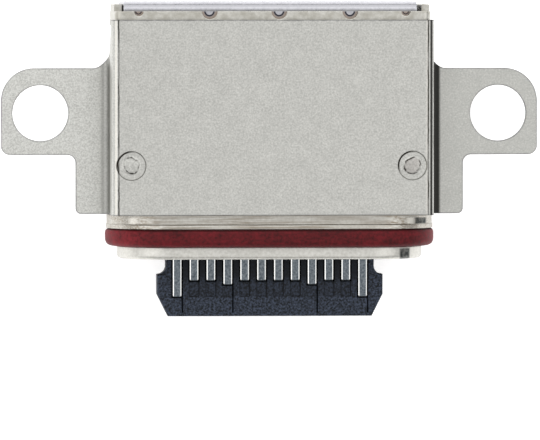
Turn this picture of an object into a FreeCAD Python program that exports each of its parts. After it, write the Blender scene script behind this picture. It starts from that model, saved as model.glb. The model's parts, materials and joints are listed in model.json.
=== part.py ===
"""Sealed USB-C socket for a phone: stamped cover with two ears, moulded shell, seal ring,
tongue, two rows of twelve contacts and their carriers.

The origin lies midway between the two screw holes, on the underside of the ears, which is also
the middle plane of the tongue. X points right, Y to the back, Z up. All lengths are millimetres.
"""

import FreeCAD, Part

import os
import re

import Sketcher
from FreeCAD import Vector

# Driving dimensions
SIZES = {
    # Stamped cover
    "sheet_metal": 0.15,
    "hole_spacing": 13.57,
    "hole_radius": 0.825,
    "ear_past_hole": 1.165,
    "ear_back": 1.33,
    "ear_front": 1.19,
    "ear_tip_radius": 0.98,
    "ear_front_radius": 0.27,
    "ear_root_radius": 0.36,
    "leg_width": 0.995,
    "leg_root_radius": 0.24,
    "leg_tip_radius": 0.16,
    "cover_inset": 0.02,
    "cover_setback": 0.25,
    "top_bend_radius": 0.07,
    "foot_bend_radius": 0.2,
    "dimple_inset": 0.59,
    "dimple_shift": 0.055,
    "dimple_forward": 1.55,
    "dimple_radius": 0.43,
    "dimple_depth": 0.05,
    "weld_radius": 0.255,
    "weld_height": 0.03,
    # Moulded shell
    "box_width": 9.2,
    "box_height": 3.42,
    "box_corner": 0.2,
    "box_front": 3.0,
    "box_back": 3.02,
    "side_wall": 0.18,
    "top_wall": 0.18,
    "opening_width": 8.34,
    "opening_height": 2.56,
    "neck_side_wall": 0.655,
    "neck_wall": 0.3,
    "neck_length": 0.265,
    "flange_side_rim": 0.02,
    "flange_top_rim": 0.27,
    "flange_thickness": 0.13,
    "seat_wall": 0.15,
    "lip_length": 0.37,
    "lip_side_wall": 0.35,
    "lip_wall": 0.3,
    "lip_radius": 0.06,
    "notch_radius": 0.23,
    "small_notch_radius": 0.135,
    "notch_pitch": 2.09,
    "notch_shift": 0.19,
    "right_notch_inset": 0.69,
    "stub_length": 0.2,
    "stub_height": 2.4,
    "tail_slot_side": 0.71,
    "tail_slot_front": 0.3,
    # Bent sheet at the back and below
    "back_cover_gap": 0.04,
    "back_cover_right_gap": 0.16,
    "back_cover_reach": 0.29,
    "back_cover_setback": 0.4,
    "back_bend_radius": 0.1,
    "tucked_lip": 0.75,
    "tail_window_side": 0.41,
    "tail_window_front": 0.12,
    "tail_window_back": 0.1,
    "foot_height": 0.14,
    "foot_width": 0.6,
    "foot_length": 0.5,
    "foot_side_inset": 0.43,
    "front_foot_inset": 0.4,
    "back_foot_inset": 0.76,
    # Seal
    "seal_length": 0.525,
    "seal_side_proud": 0.03,
    "seal_top_proud": 0.125,
    "seal_front_radius": 0.22,
    "seal_back_radius": 0.14,
    # Tongue
    "tongue_front": 6.01,
    "tongue_width": 6.69,
    "tongue_thickness": 0.7,
    "tip_inset": 0.325,
    "tip_taper": 0.65,
    "tongue_edge": 0.06,
    "latch_setback": 1.24,
    "latch_depth": 0.262,
    "latch_radius": 0.25,
    "floor_place": 1.56,
    "floor_thickness": 0.16,
    "root_length": 0.9,
    "root_thickness": 1.4,
    "base_back": 0.2,
    "moulding_gap": 0.02,
    "recess_end": 0.59,
    "recess_depth": 0.03,
    "groove_end": 0.1,
    "groove_width": 0.045,
    "groove_depth": 0.06,
    # Plates in and on the tongue
    "mid_plate_thickness": 0.12,
    "mid_plate_setback": 0.51,
    "mid_plate_cover": 0.2,
    "ground_thickness": 0.1,
    "ground_side": 0.195,
    "ground_rise": 0.35,
    # Contacts
    "contact_pitch": 0.5,
    "contact_width": 0.28,
    "contact_thickness": 0.12,
    "contact_proud": 0.02,
    "contact_bend": 0.08,
    "ground_setback": 0.57,
    "power_setback": 0.93,
    "signal_setback": 1.05,
    "upper_row_setback": 0.42,
    "lower_row_bend": 1.05,
    "tail_length": 0.45,
    # Carriers and cast resin
    "holder_gap": 0.22,
    "upper_drop_gap": 0.28,
    "lower_drop_gap": 0.13,
    "resin_gap": 0.2,
    "resin_setback": 0.07,
    # How far a cut runs on past the material
    "cut_margin": 1.0,
}
CONTACTS_IN_ROW = 12

# Places and heights that several pieces share, worked out from the driving dimensions.
# Places that lie in front of the origin are given as positive lengths forward.
COVER_TOP = "(box_height / 2 + sheet_metal)"
COVER_SIDE = "(box_width / 2 + sheet_metal)"
COVER_FRONT = "(box_front - cover_inset)"
COVER_BACK = "(box_back - cover_setback)"
EAR_END = "(hole_spacing / 2 + ear_past_hole)"
LEG_SIDE = f"({COVER_SIDE} + leg_width)"
CHAMBER_SIDE = "(box_width / 2 - side_wall)"
CHAMBER_TOP = "(box_height / 2 - top_wall)"
CHAMBER_FRONT = "(floor_place - floor_thickness)"
NECK_WIDTH = "(opening_width + 2 * neck_side_wall)"
NECK_HEIGHT = "(opening_height + 2 * neck_wall)"
FLANGE_WIDTH = f"({NECK_WIDTH} + 2 * flange_side_rim)"
FLANGE_HEIGHT = f"({NECK_HEIGHT} + 2 * flange_top_rim)"
LIP_WIDTH = "(opening_width + 2 * lip_side_wall)"
LIP_HEIGHT = "(opening_height + 2 * lip_wall)"
SEAT_WIDTH = "(opening_width + 2 * seat_wall)"
SEAT_HEIGHT = "(opening_height + 2 * seat_wall)"
FLANGE_BACK = "(box_front + neck_length)"
SEAL_BACK = f"({FLANGE_BACK} + flange_thickness)"
SEAL_FRONT = f"({SEAL_BACK} + seal_length)"
LIP_FRONT = f"({SEAL_FRONT} + lip_length)"
BACK_WALL = "(box_back + back_cover_reach)"
BACK_COVER_SIDE = f"({CHAMBER_SIDE} - back_cover_gap)"
BACK_COVER_FRONT = "(box_front - back_cover_setback)"
BELOW_PLATE = f"(0 - {COVER_TOP})"
BOARD_LEVEL = f"({BELOW_PLATE} - foot_height)"
INNER_TOP = f"({CHAMBER_TOP} - sheet_metal)"
LATCH_SIDE = "(tongue_width / 2 - latch_depth)"
LATCH_PLACE = "(tongue_front - latch_setback)"
UPPER_BLADE_TOP = "(tongue_thickness / 2 + contact_proud)"
LOWER_BLADE_TOP = "(contact_thickness - tongue_thickness / 2 - contact_proud)"
UPPER_ROW_BEND = "(box_back - upper_row_setback)"
ROW_SIDE = f"({(CONTACTS_IN_ROW - 1) / 2} * contact_pitch + contact_width / 2)"

document = FreeCAD.newDocument("usb_c_socket")
sub_parts = []


def fill_sheet():
    """Write the driving dimensions into the document's spreadsheet."""
    sheet = document.addObject("Spreadsheet::Sheet", "sizes")
    for row, (name, size) in enumerate(SIZES.items(), start=1):
        sheet.set(f"A{row}", name)
        sheet.set(f"B{row}", str(size))
        sheet.setAlias(f"B{row}", name)
    document.recompute()


def formula(text):
    """Give a formula the spreadsheet's name in front of each driving dimension."""
    return re.sub(r"[a-z_]+", lambda word: f"sizes.{word.group()}" if word.group() in SIZES
                  else word.group(), text)


def value(text):
    """The number that a formula gives with the sizes now in the spreadsheet."""
    return float(document.sizes.evalExpression(formula(text)))


def bind(item, name, text):
    """Tie a property of an object to the spreadsheet."""
    item.setExpression(name, formula(text))


def new_body(label):
    """Start a body that becomes a piece of the socket."""
    body = document.addObject("PartDesign::Body", label)
    body.Label = label
    return body


def new_sketch(body, role, at="0"):
    """Start a sketch on an origin plane of its body, moved along the plane's normal."""
    sketch = body.newObject("Sketcher::SketchObject", "outline")
    plane = [item for item in body.Origin.OriginFeatures if item.Role == role][0]
    sketch.AttachmentSupport = [(plane, "")]
    sketch.MapMode = "FlatFace"
    bind(sketch, "AttachmentOffset.Base.z", at)
    return sketch


def measure(sketch, kind, geometry, point, text):
    """Hold one coordinate of a point of the sketch at a formula, measured from the origin."""
    number = sketch.addConstraint(Sketcher.Constraint(kind, -1, 1, geometry, point, value(text)))
    bind(sketch, f"Constraints[{number}]", text)


def polygon(sketch, corners):
    """Draw a closed outline with straight sides through corners given as pairs of formulas."""
    first = sketch.GeometryCount
    places = [Vector(value(across), value(up), 0) for across, up in corners]
    for number, start in enumerate(places):
        sketch.addGeometry(Part.LineSegment(start, places[(number + 1) % len(places)]), False)
    for number, (across, up) in enumerate(corners):
        following = first + (number + 1) % len(corners)
        sketch.addConstraint(Sketcher.Constraint("Coincident", first + number, 2, following, 1))
        measure(sketch, "DistanceX", first + number, 1, across)
        measure(sketch, "DistanceY", first + number, 1, up)


def rectangle(sketch, left, right, low, high):
    """Draw a rectangle between two pairs of formulas."""
    polygon(sketch, [(left, low), (right, low), (right, high), (left, high)])


def circle(sketch, across, up, radius):
    """Draw a circle whose centre and radius are formulas."""
    centre = Vector(value(across), value(up), 0)
    number = sketch.addGeometry(Part.Circle(centre, Vector(0, 0, 1), value(radius)), False)
    measure(sketch, "DistanceX", number, 3, across)
    measure(sketch, "DistanceY", number, 3, up)
    limit = sketch.addConstraint(Sketcher.Constraint("Radius", number, value(radius)))
    bind(sketch, f"Constraints[{limit}]", radius)


def oval(sketch, width, height):
    """Draw an oval of two straight sides joined by half circles, centred on the origin."""
    centre = f"({width} / 2 - {height} / 2)"
    reach = value(centre)
    radius = value(f"{height} / 2")
    quarter = 1.5707963267948966
    lines = []
    for side in (1, -1):
        start = Vector(-side * reach, side * -radius, 0)
        end = Vector(side * reach, side * -radius, 0)
        lines.append(sketch.addGeometry(Part.LineSegment(start, end), False))
    arcs = []
    for side, turn in ((1, -quarter), (-1, quarter)):
        full = Part.Circle(Vector(side * reach, 0, 0), Vector(0, 0, 1), radius)
        arcs.append(sketch.addGeometry(Part.ArcOfCircle(full, turn, turn + 2 * quarter), False))
    for line, arc, following in ((lines[0], arcs[0], lines[1]), (lines[1], arcs[1], lines[0])):
        sketch.addConstraint(Sketcher.Constraint("Tangent", line, 2, arc, 1))
        sketch.addConstraint(Sketcher.Constraint("Tangent", arc, 2, following, 1))
    for arc, sign in ((arcs[0], ""), (arcs[1], "-")):
        measure(sketch, "DistanceX", arc, 3, f"{sign}{centre}")
        measure(sketch, "DistanceY", arc, 3, "0")
        limit = sketch.addConstraint(Sketcher.Constraint("Radius", arc, radius))
        bind(sketch, f"Constraints[{limit}]", f"{height} / 2")


def pad(body, sketch, length, reverse=False, both_ways=False):
    """Raise a sketch into material; both_ways puts half of the length on each side."""
    feature = body.newObject("PartDesign::Pad", "pad")
    feature.Profile = sketch
    feature.Reversed = reverse
    feature.SideType = "Symmetric" if both_ways else "One side"
    bind(feature, "Length", length)
    document.recompute()
    return feature


def pocket(body, sketch, depth, reverse=False, both_ways=False):
    """Cut a sketch out of the material and make sure that something was cut."""
    before = body.Shape.Volume
    feature = body.newObject("PartDesign::Pocket", "pocket")
    feature.Profile = sketch
    feature.Reversed = reverse
    feature.SideType = "Symmetric" if both_ways else "One side"
    bind(feature, "Length", depth)
    document.recompute()
    if body.Shape.Volume >= before:
        raise RuntimeError(f"a pocket of {body.Label} cuts nothing")
    return feature


def straight_edges(shape, axis, places):
    """Name the straight edges along one axis (0, 1 or 2) that pass through the given places.

    A place is a pair of formulas for the two other coordinates, in the order X, Y, Z.
    """
    others = [number for number in range(3) if number != axis]
    wanted = [(value(first), value(second)) for first, second in places]
    names = []
    for number, edge in enumerate(shape.Edges, start=1):
        if edge.Curve.TypeId != "Part::GeomLine" or abs(edge.Curve.Direction[axis]) < 0.999:
            continue
        middle = edge.CenterOfMass
        for first, second in wanted:
            if max(abs(middle[others[0]] - first), abs(middle[others[1]] - second)) < 1e-4:
                names.append(f"Edge{number}")
    return names


def flat_edges(shape, axis, level, inside=None):
    """Name the edges that lie wholly in one plane across an axis, inside a box if one is given."""
    names = []
    for number, edge in enumerate(shape.Edges, start=1):
        box = edge.BoundBox
        low = (box.XMin, box.YMin, box.ZMin)[axis]
        high = (box.XMax, box.YMax, box.ZMax)[axis]
        if abs(low - level) > 1e-4 or abs(high - level) > 1e-4:
            continue
        if inside is None or inside(edge.CenterOfMass):
            names.append(f"Edge{number}")
    return names


def fillet_at(body, axis, places, radius):
    """Round the straight edges of a body that pass through the given places."""
    last = body.Tip
    names = straight_edges(last.Shape, axis, places)
    feature = body.newObject("PartDesign::Fillet", "fillet")
    feature.Base = (last, names)
    bind(feature, "Radius", radius)
    document.recompute()
    return feature


def fillet_in_plane(body, axis, level, radius, inside=None, chamfer=False):
    """Round or chamfer the edges of a body that lie in one plane across an axis."""
    last = body.Tip
    names = flat_edges(last.Shape, axis, value(level), inside)
    feature = body.newObject("PartDesign::Chamfer" if chamfer else "PartDesign::Fillet", "edge")
    feature.Base = (last, names)
    bind(feature, "Size" if chamfer else "Radius", radius)
    document.recompute()
    return feature


def both_sides(*places):
    """Repeat places given as (across, other) on the other side of the middle."""
    return list(places) + [(f"-{across}", other) for across, other in places]


def finish(piece):
    """Count an object as a sub-part whose shape is written out."""
    sub_parts.append(piece)
    return piece


def bracket_cover():
    """Stamped steel cover: a hat section bent over the shell, with ears, legs and two welds."""
    body = new_body("bracket_cover")
    section = new_sketch(body, "XZ_Plane", COVER_FRONT)
    inner_side = "(box_width / 2)"
    inner_top = "(box_height / 2)"
    polygon(section, [
        (f"-{EAR_END}", "0"),
        (f"-{inner_side}", "0"),
        (f"-{inner_side}", inner_top),
        (inner_side, inner_top),
        (inner_side, "0"),
        (EAR_END, "0"),
        (EAR_END, "sheet_metal"),
        (COVER_SIDE, "sheet_metal"),
        (COVER_SIDE, COVER_TOP),
        (f"-{COVER_SIDE}", COVER_TOP),
        (f"-{COVER_SIDE}", "sheet_metal"),
        (f"-{EAR_END}", "sheet_metal"),
    ])
    pad(body, section, f"{COVER_FRONT} + {COVER_BACK}", reverse=True)

    ears = new_sketch(body, "XY_Plane")
    for sign in ("", "-"):
        rectangle(ears, f"{sign}{COVER_SIDE}", f"{sign}({EAR_END} + cut_margin)",
                  "ear_back", f"{COVER_BACK} + cut_margin")
        rectangle(ears, f"{sign}{LEG_SIDE}", f"{sign}({EAR_END} + cut_margin)",
                  "-box_front - cut_margin", "-ear_front")
    pocket(body, ears, f"2 * {COVER_TOP} + cut_margin", both_ways=True)

    fillet_at(body, 2, both_sides((COVER_SIDE, "ear_back")), "ear_root_radius")
    fillet_at(body, 2, both_sides((EAR_END, "ear_back")), "ear_tip_radius")
    fillet_at(body, 2, both_sides((EAR_END, "-ear_front")), "ear_front_radius")
    fillet_at(body, 2, both_sides((LEG_SIDE, "-ear_front")), "leg_root_radius")
    fillet_at(body, 2, both_sides((LEG_SIDE, f"-{COVER_FRONT}")), "leg_tip_radius")

    fillet_at(body, 1, both_sides((COVER_SIDE, COVER_TOP)), "top_bend_radius + sheet_metal")
    fillet_at(body, 1, both_sides((inner_side, inner_top)), "top_bend_radius")
    fillet_at(body, 1, both_sides((COVER_SIDE, "sheet_metal")), "foot_bend_radius")
    fillet_at(body, 1, both_sides((inner_side, "0")), "foot_bend_radius + sheet_metal")

    sweep = new_sketch(body, "YZ_Plane")
    polygon(sweep, [
        ("ear_back + ear_root_radius", "-cut_margin"),
        (f"{COVER_BACK} + cut_margin", "-cut_margin"),
        (f"{COVER_BACK} + cut_margin", f"{COVER_TOP} - sheet_metal - top_bend_radius"),
        (COVER_BACK, f"{COVER_TOP} - sheet_metal - top_bend_radius"),
        ("ear_back + ear_root_radius", "sheet_metal"),
    ])
    pocket(body, sweep, f"2 * {EAR_END} + cut_margin", both_ways=True)

    holes = new_sketch(body, "XY_Plane")
    dimples = new_sketch(body, "XY_Plane", COVER_TOP)
    welds = new_sketch(body, "XY_Plane", f"{COVER_TOP} - dimple_depth")
    for sign in ("", "-"):
        circle(holes, f"{sign}(hole_spacing / 2)", "0", "hole_radius")
        dimple_place = f"{sign}({COVER_SIDE} - dimple_inset) - dimple_shift"
        circle(dimples, dimple_place, "-dimple_forward", "dimple_radius")
        circle(welds, dimple_place, "-dimple_forward", "weld_radius")
    pocket(body, holes, "box_height", both_ways=True)
    pocket(body, dimples, "dimple_depth")
    pad(body, welds, "weld_height")
    return finish(body)


def oval_pad(body, width, height, back, front):
    """Add an oval tube or flange that runs forward between two places in front."""
    sketch = new_sketch(body, "XZ_Plane", back)
    oval(sketch, width, height)
    return pad(body, sketch, f"{front} - {back}")


def front_shell():
    """Moulded metal shell: box, oval neck, flange, seat of the seal, lip, opening and chamber."""
    body = new_body("front_shell")
    box = new_sketch(body, "XZ_Plane", "-box_back")
    rectangle(box, "-box_width / 2", "box_width / 2", "-box_height / 2", "box_height / 2")
    pad(body, box, "box_back + box_front")
    corners = both_sides(("(box_width / 2)", "box_height / 2"), ("(box_width / 2)", "-box_height / 2"))
    fillet_at(body, 1, corners, "box_corner")

    oval_pad(body, NECK_WIDTH, NECK_HEIGHT, "box_front", FLANGE_BACK)
    oval_pad(body, FLANGE_WIDTH, FLANGE_HEIGHT, FLANGE_BACK, SEAL_BACK)
    oval_pad(body, SEAT_WIDTH, SEAT_HEIGHT, SEAL_BACK, SEAL_FRONT)
    oval_pad(body, LIP_WIDTH, LIP_HEIGHT, SEAL_FRONT, LIP_FRONT)
    fillet_in_plane(body, 1, f"-{LIP_FRONT}", "lip_radius")

    stubs = new_sketch(body, "XZ_Plane", "-box_back")
    for sign in ("", "-"):
        rectangle(stubs, f"{sign}{CHAMBER_SIDE}", f"{sign}(box_width / 2)",
                  "-stub_height / 2", "stub_height / 2")
    pad(body, stubs, "stub_length", reverse=True)

    chamber = new_sketch(body, "XZ_Plane", CHAMBER_FRONT)
    rectangle(chamber, f"-{CHAMBER_SIDE}", CHAMBER_SIDE, f"-{CHAMBER_TOP}", CHAMBER_TOP)
    pocket(body, chamber, f"{CHAMBER_FRONT} + box_back + stub_length")

    opening = new_sketch(body, "XZ_Plane", LIP_FRONT)
    oval(opening, "opening_width", "opening_height")
    pocket(body, opening, LIP_FRONT)

    slot = new_sketch(body, "XY_Plane", "-box_height / 2")
    slot_side = f"({ROW_SIDE} + tail_slot_side)"
    rectangle(slot, f"-{slot_side}", slot_side, "tail_slot_front", "box_back")
    pocket(body, slot, "top_wall", reverse=True)

    notches = new_sketch(body, "XY_Plane", "box_height / 2")
    for step in (-1, 0, 1):
        circle(notches, f"notch_shift + {step} * notch_pitch", "box_back", "notch_radius")
    circle(notches, "notch_shift - 2 * notch_pitch", "box_back", "small_notch_radius")
    circle(notches, "box_width / 2 - right_notch_inset", "box_back", "small_notch_radius")
    pocket(body, notches, "top_wall")
    return finish(body)


def rear_cover():
    """Thin bent sheet: plate below the shell, wall at the back and a lip tucked in at the top."""
    body = new_body("rear_cover")
    plate_top = "(0 - box_height / 2)"
    wall = f"({BACK_WALL} - sheet_metal)"
    lip_end = f"({BACK_WALL} - tucked_lip)"
    profile = new_sketch(body, "YZ_Plane")
    polygon(profile, [
        (f"-{BACK_COVER_FRONT}", BELOW_PLATE),
        (BACK_WALL, BELOW_PLATE),
        (BACK_WALL, CHAMBER_TOP),
        (lip_end, CHAMBER_TOP),
        (lip_end, INNER_TOP),
        (wall, INNER_TOP),
        (wall, plate_top),
        (f"-{BACK_COVER_FRONT}", plate_top),
    ])
    pad(body, profile, f"2 * {BACK_COVER_SIDE}", both_ways=True)
    right = new_sketch(body, "YZ_Plane", f"{CHAMBER_SIDE} - back_cover_right_gap")
    rectangle(right, f"-{BACK_COVER_FRONT} - cut_margin", f"{BACK_WALL} + cut_margin",
              f"{BELOW_PLATE} - cut_margin", f"{CHAMBER_TOP} + cut_margin")
    pocket(body, right, "side_wall + back_cover_right_gap", reverse=True)
    outer = "back_bend_radius + sheet_metal"
    for level in (BELOW_PLATE, CHAMBER_TOP):
        fillet_at(body, 0, [(BACK_WALL, level)], outer)
    for level in (plate_top, INNER_TOP):
        fillet_at(body, 0, [(wall, level)], "back_bend_radius")

    windows = new_sketch(body, "XY_Plane", BELOW_PLATE)
    window_side = f"({ROW_SIDE} + tail_window_side)"
    for bend in ("lower_row_bend", UPPER_ROW_BEND):
        rectangle(windows, f"-{window_side}", window_side,
                  f"{bend} - contact_thickness - tail_window_front",
                  f"{bend} + tail_window_back")
    pocket(body, windows, "sheet_metal", reverse=True)

    feet = new_sketch(body, "XY_Plane", BELOW_PLATE)
    middle = f"({BACK_COVER_SIDE} - foot_side_inset)"
    front = f"(front_foot_inset - {BACK_COVER_FRONT})"
    back = f"({BACK_WALL} - back_foot_inset)"
    for sign in ("", "-"):
        for place in (front, back):
            rectangle(feet, f"{sign}({middle} - foot_width / 2)",
                      f"{sign}({middle} + foot_width / 2)",
                      f"{place} - foot_length / 2", f"{place} + foot_length / 2")
    pad(body, feet, "foot_height", reverse=True)
    return finish(body)


def seal_ring():
    """Silicone ring in the groove between the flange and the lip."""
    body = new_body("seal_ring")
    outline = new_sketch(body, "XZ_Plane", SEAL_BACK)
    oval(outline, f"({FLANGE_WIDTH} + 2 * seal_side_proud)",
         f"({FLANGE_HEIGHT} + 2 * seal_top_proud)")
    pad(body, outline, "seal_length")
    fillet_in_plane(body, 1, f"-{SEAL_FRONT}", "seal_front_radius")
    fillet_in_plane(body, 1, f"-{SEAL_BACK}", "seal_back_radius")
    hole = new_sketch(body, "XZ_Plane", SEAL_FRONT)
    oval(hole, SEAT_WIDTH, SEAT_HEIGHT)
    pocket(body, hole, "seal_length")
    return finish(body)


def tongue_moulding():
    """Black moulding before the contacts are let in: tongue, root, floor and base."""
    body = new_body("tongue_moulding")
    outline = new_sketch(body, "XY_Plane")
    side = "(tongue_width / 2)"
    right = [
        (LATCH_SIDE, "-floor_place"),
        (LATCH_SIDE, f"-{LATCH_PLACE}"),
        (side, f"-{LATCH_PLACE}"),
        (side, "tip_taper - tongue_front"),
        (f"({side} - tip_inset)", "-tongue_front"),
    ]
    left = [(f"-{across}", along) for across, along in reversed(right)]
    polygon(outline, right + left)
    pad(body, outline, "tongue_thickness", both_ways=True)
    fillet_at(body, 2, both_sides((LATCH_SIDE, f"-{LATCH_PLACE}")), "latch_radius")
    edge_of_tip = value(f"-{LATCH_PLACE}") - 0.001
    for level in ("tongue_thickness / 2", "-tongue_thickness / 2"):
        fillet_in_plane(body, 2, level, "tongue_edge", lambda place: place.y < edge_of_tip,
                        chamfer=True)

    root = new_sketch(body, "XY_Plane")
    rectangle(root, "-tongue_width / 2", "tongue_width / 2",
              "-floor_place - root_length", "-floor_place")
    pad(body, root, "root_thickness", both_ways=True)

    floor = new_sketch(body, "XZ_Plane", CHAMBER_FRONT)
    oval(floor, "(opening_width - 2 * moulding_gap)", "(opening_height - 2 * moulding_gap)")
    pad(body, floor, "floor_thickness")

    base = new_sketch(body, "XZ_Plane", CHAMBER_FRONT)
    rectangle(base, f"-{CHAMBER_SIDE} + moulding_gap", f"{CHAMBER_SIDE} - moulding_gap",
              f"-{CHAMBER_TOP}", CHAMBER_TOP)
    pad(body, base, f"{CHAMBER_FRONT} - base_back", reverse=True)
    for level, upwards in (("tongue_thickness / 2", False), ("-tongue_thickness / 2", True)):
        cut_tongue_face(body, level, upwards)
    return body


def cut_tongue_face(body, level, upwards):
    """Cut the shallow recesses before the short contacts and the long grooves beside four."""
    recesses = new_sketch(body, "XY_Plane", level)
    grooves = new_sketch(body, "XY_Plane", level)
    for number in range(1, CONTACTS_IN_ROW + 1):
        place = contact_place(number)
        setback = contact_setback(number)
        if setback == "signal_setback":
            rectangle(recesses, f"{place} - contact_width / 2", f"{place} + contact_width / 2",
                      "recess_end - tongue_front", f"{setback} - tongue_front")
        else:
            rectangle(grooves, f"{place} + contact_width / 2",
                      f"{place} + contact_width / 2 + groove_width",
                      "groove_end - tongue_front", "-floor_place - root_length")
    pocket(body, recesses, "recess_depth", reverse=upwards)
    pocket(body, grooves, "groove_depth", reverse=upwards)


def mid_plate():
    """Steel plate in the middle of the tongue, bare at its sides where the plug latches."""
    body = new_body("mid_plate")
    outline = new_sketch(body, "XY_Plane")
    rectangle(outline, f"-{LATCH_SIDE}", LATCH_SIDE,
              "mid_plate_setback - tongue_front", "-base_back - mid_plate_cover")
    pad(body, outline, "mid_plate_thickness", both_ways=True)
    return finish(body)


def ground_plate(label, half_turn):
    """Thin angle of sheet on the root of the tongue, against the floor of the opening."""
    body = new_body(label)
    seat = "(root_thickness / 2)"
    outer = f"({seat} + ground_thickness)"
    front = "(0 - floor_place - root_length)"
    profile = new_sketch(body, "YZ_Plane")
    polygon(profile, [
        (front, seat),
        ("-floor_place", seat),
        ("-floor_place", f"{outer} + ground_rise"),
        ("-floor_place - ground_thickness", f"{outer} + ground_rise"),
        ("-floor_place - ground_thickness", outer),
        (front, outer),
    ])
    pad(body, profile, "tongue_width - 2 * ground_side", both_ways=True)
    if half_turn:
        body.Placement.Rotation = FreeCAD.Rotation(Vector(0, 1, 0), 180)
    return finish(body)


def contact_setback(number):
    """How far a contact stops behind the tip: ground at the ends, power fourth from each end."""
    from_end = min(number, CONTACTS_IN_ROW + 1 - number)
    return {1: "ground_setback", 4: "power_setback"}.get(from_end, "signal_setback")


def contact_place(number):
    """Where the middle of a contact lies from left to right, counted from one."""
    return f"({number - (CONTACTS_IN_ROW + 1) / 2} * contact_pitch)"


def contact(label, number, top, bend):
    """Bent strip: blade along the tongue, drop at the back and tail on the board."""
    body = new_body(label)
    front = f"({contact_setback(number)} - tongue_front)"
    low = f"({top} - contact_thickness)"
    drop = f"({bend} - contact_thickness)"
    tail_end = f"({bend} + tail_length)"
    tail_top = f"({BOARD_LEVEL} + contact_thickness)"
    profile = new_sketch(body, "YZ_Plane")
    polygon(profile, [
        (front, low),
        (drop, low),
        (drop, BOARD_LEVEL),
        (tail_end, BOARD_LEVEL),
        (tail_end, tail_top),
        (bend, tail_top),
        (bend, top),
        (front, top),
    ])
    pad(body, profile, "contact_width", both_ways=True)
    fillet_at(body, 0, [(drop, low), (bend, tail_top)], "contact_bend")
    fillet_at(body, 0, [(bend, top), (drop, BOARD_LEVEL)], "contact_bend + contact_thickness")
    bind(body, "Placement.Base.x", contact_place(number))
    return finish(body)


def contact_row(letter, top, bend):
    """All the contacts of one row, counted from the left."""
    return [contact(f"contact_{letter}{number:02d}", number, top, bend)
            for number in range(1, CONTACTS_IN_ROW + 1)]


def block(name, width, front, back, low, high):
    """Plain block between formulas for its front, back, underside and top."""
    box = document.addObject("Part::Box", name)
    bind(box, "Length", width)
    bind(box, "Width", f"{back} - {front}")
    bind(box, "Height", f"{high} - {low}")
    bind(box, "Placement.Base.x", f"-{width} / 2")
    bind(box, "Placement.Base.y", front)
    bind(box, "Placement.Base.z", low)
    return box


def with_contacts_let_in(label, blank, inserts):
    """A moulding with room for everything that it is cast around."""
    cut = document.addObject("Part::Cut", label)
    cut.Base = blank
    cut.Tool = inserts
    return finish(cut)


def housings(inserts):
    """The tongue moulding, the two carriers and the cast resin, all formed round the contacts."""
    with_contacts_let_in("tongue_body", tongue_moulding(), inserts)
    front = "(0 - base_back)"
    holder_width = f"(2 * ({CHAMBER_SIDE} - holder_gap))"
    upper_back = f"({UPPER_ROW_BEND} - contact_thickness - upper_drop_gap)"
    lower_back = "(lower_row_bend - contact_thickness - lower_drop_gap)"
    chamber_floor = f"(0 - {CHAMBER_TOP})"
    upper = block("upper_blank", holder_width, front, upper_back, "0", INNER_TOP)
    with_contacts_let_in("upper_contact_holder", upper, inserts)
    lower = block("lower_blank", holder_width, front, lower_back, chamber_floor, "0")
    with_contacts_let_in("lower_contact_holder", lower, inserts)

    chamber_width = f"(2 * {CHAMBER_SIDE})"
    slot_width = f"(2 * ({ROW_SIDE} + tail_slot_side))"
    resin_front = "(lower_row_bend + resin_gap)"
    resin_back = "(box_back - resin_setback)"
    cast = document.addObject("Part::MultiFuse", "resin_blank")
    cast.Shapes = [
        block("resin_low", chamber_width, resin_front, resin_back, chamber_floor, "0"),
        block("resin_high", chamber_width, upper_back, resin_back, chamber_floor, INNER_TOP),
        block("resin_in_slot", slot_width, resin_front, resin_back,
              "(0 - box_height / 2)", chamber_floor),
    ]
    with_contacts_let_in("rear_potting", cast, inserts)


def build():
    """Build every piece, check them and write their shapes."""
    fill_sheet()
    bracket_cover()
    front_shell()
    rear_cover()
    seal_ring()
    plate = mid_plate()
    ground_plate("upper_ground_plate", half_turn=False)
    ground_plate("lower_ground_plate", half_turn=True)
    contacts = contact_row("a", UPPER_BLADE_TOP, UPPER_ROW_BEND)
    contacts += contact_row("b", LOWER_BLADE_TOP, "lower_row_bend")
    inserts = document.addObject("Part::Compound", "inserts")
    inserts.Links = contacts + [plate]
    housings(inserts)
    document.recompute()

    for item in document.Objects:
        if "Invalid" in item.State or "Error" in item.State:
            raise RuntimeError(f"{item.Label} failed: {item.State}")
    for piece in sub_parts:
        if piece.Shape.isNull() or not piece.Shape.isValid():
            raise RuntimeError(f"{piece.Label} has no valid shape")
    os.makedirs("parts", exist_ok=True)
    for piece in sub_parts:
        piece.Shape.exportStep(f"parts/{piece.Label}.step")
        print(f"{piece.Label}: {len(piece.Shape.Solids)} solid, {piece.Shape.Volume:.3f} mm3")


build()
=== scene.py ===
# %% [markdown]
# # A sealed USB-C socket, dressed for its portrait
#
# The real part is barely sixteen millimetres wide. A stamped steel cover with two screw ears sits
# over a moulded metal shell, a dark red silicone ring seals its neck, and a black tongue with
# bright flat contacts stands out in front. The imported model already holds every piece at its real
# size, but its curves are cut into few facets. So this lesson makes each visible piece again as a
# smooth surface on the same sizes, and gives it the finish that the real metal, silicone and
# moulding have.

# %% Load the frame and keep its box
import json
import math

import bmesh
import bpy
import numpy as np
from mathutils import Matrix, Vector
from mathutils.geometry import delaunay_2d_cdt


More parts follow.
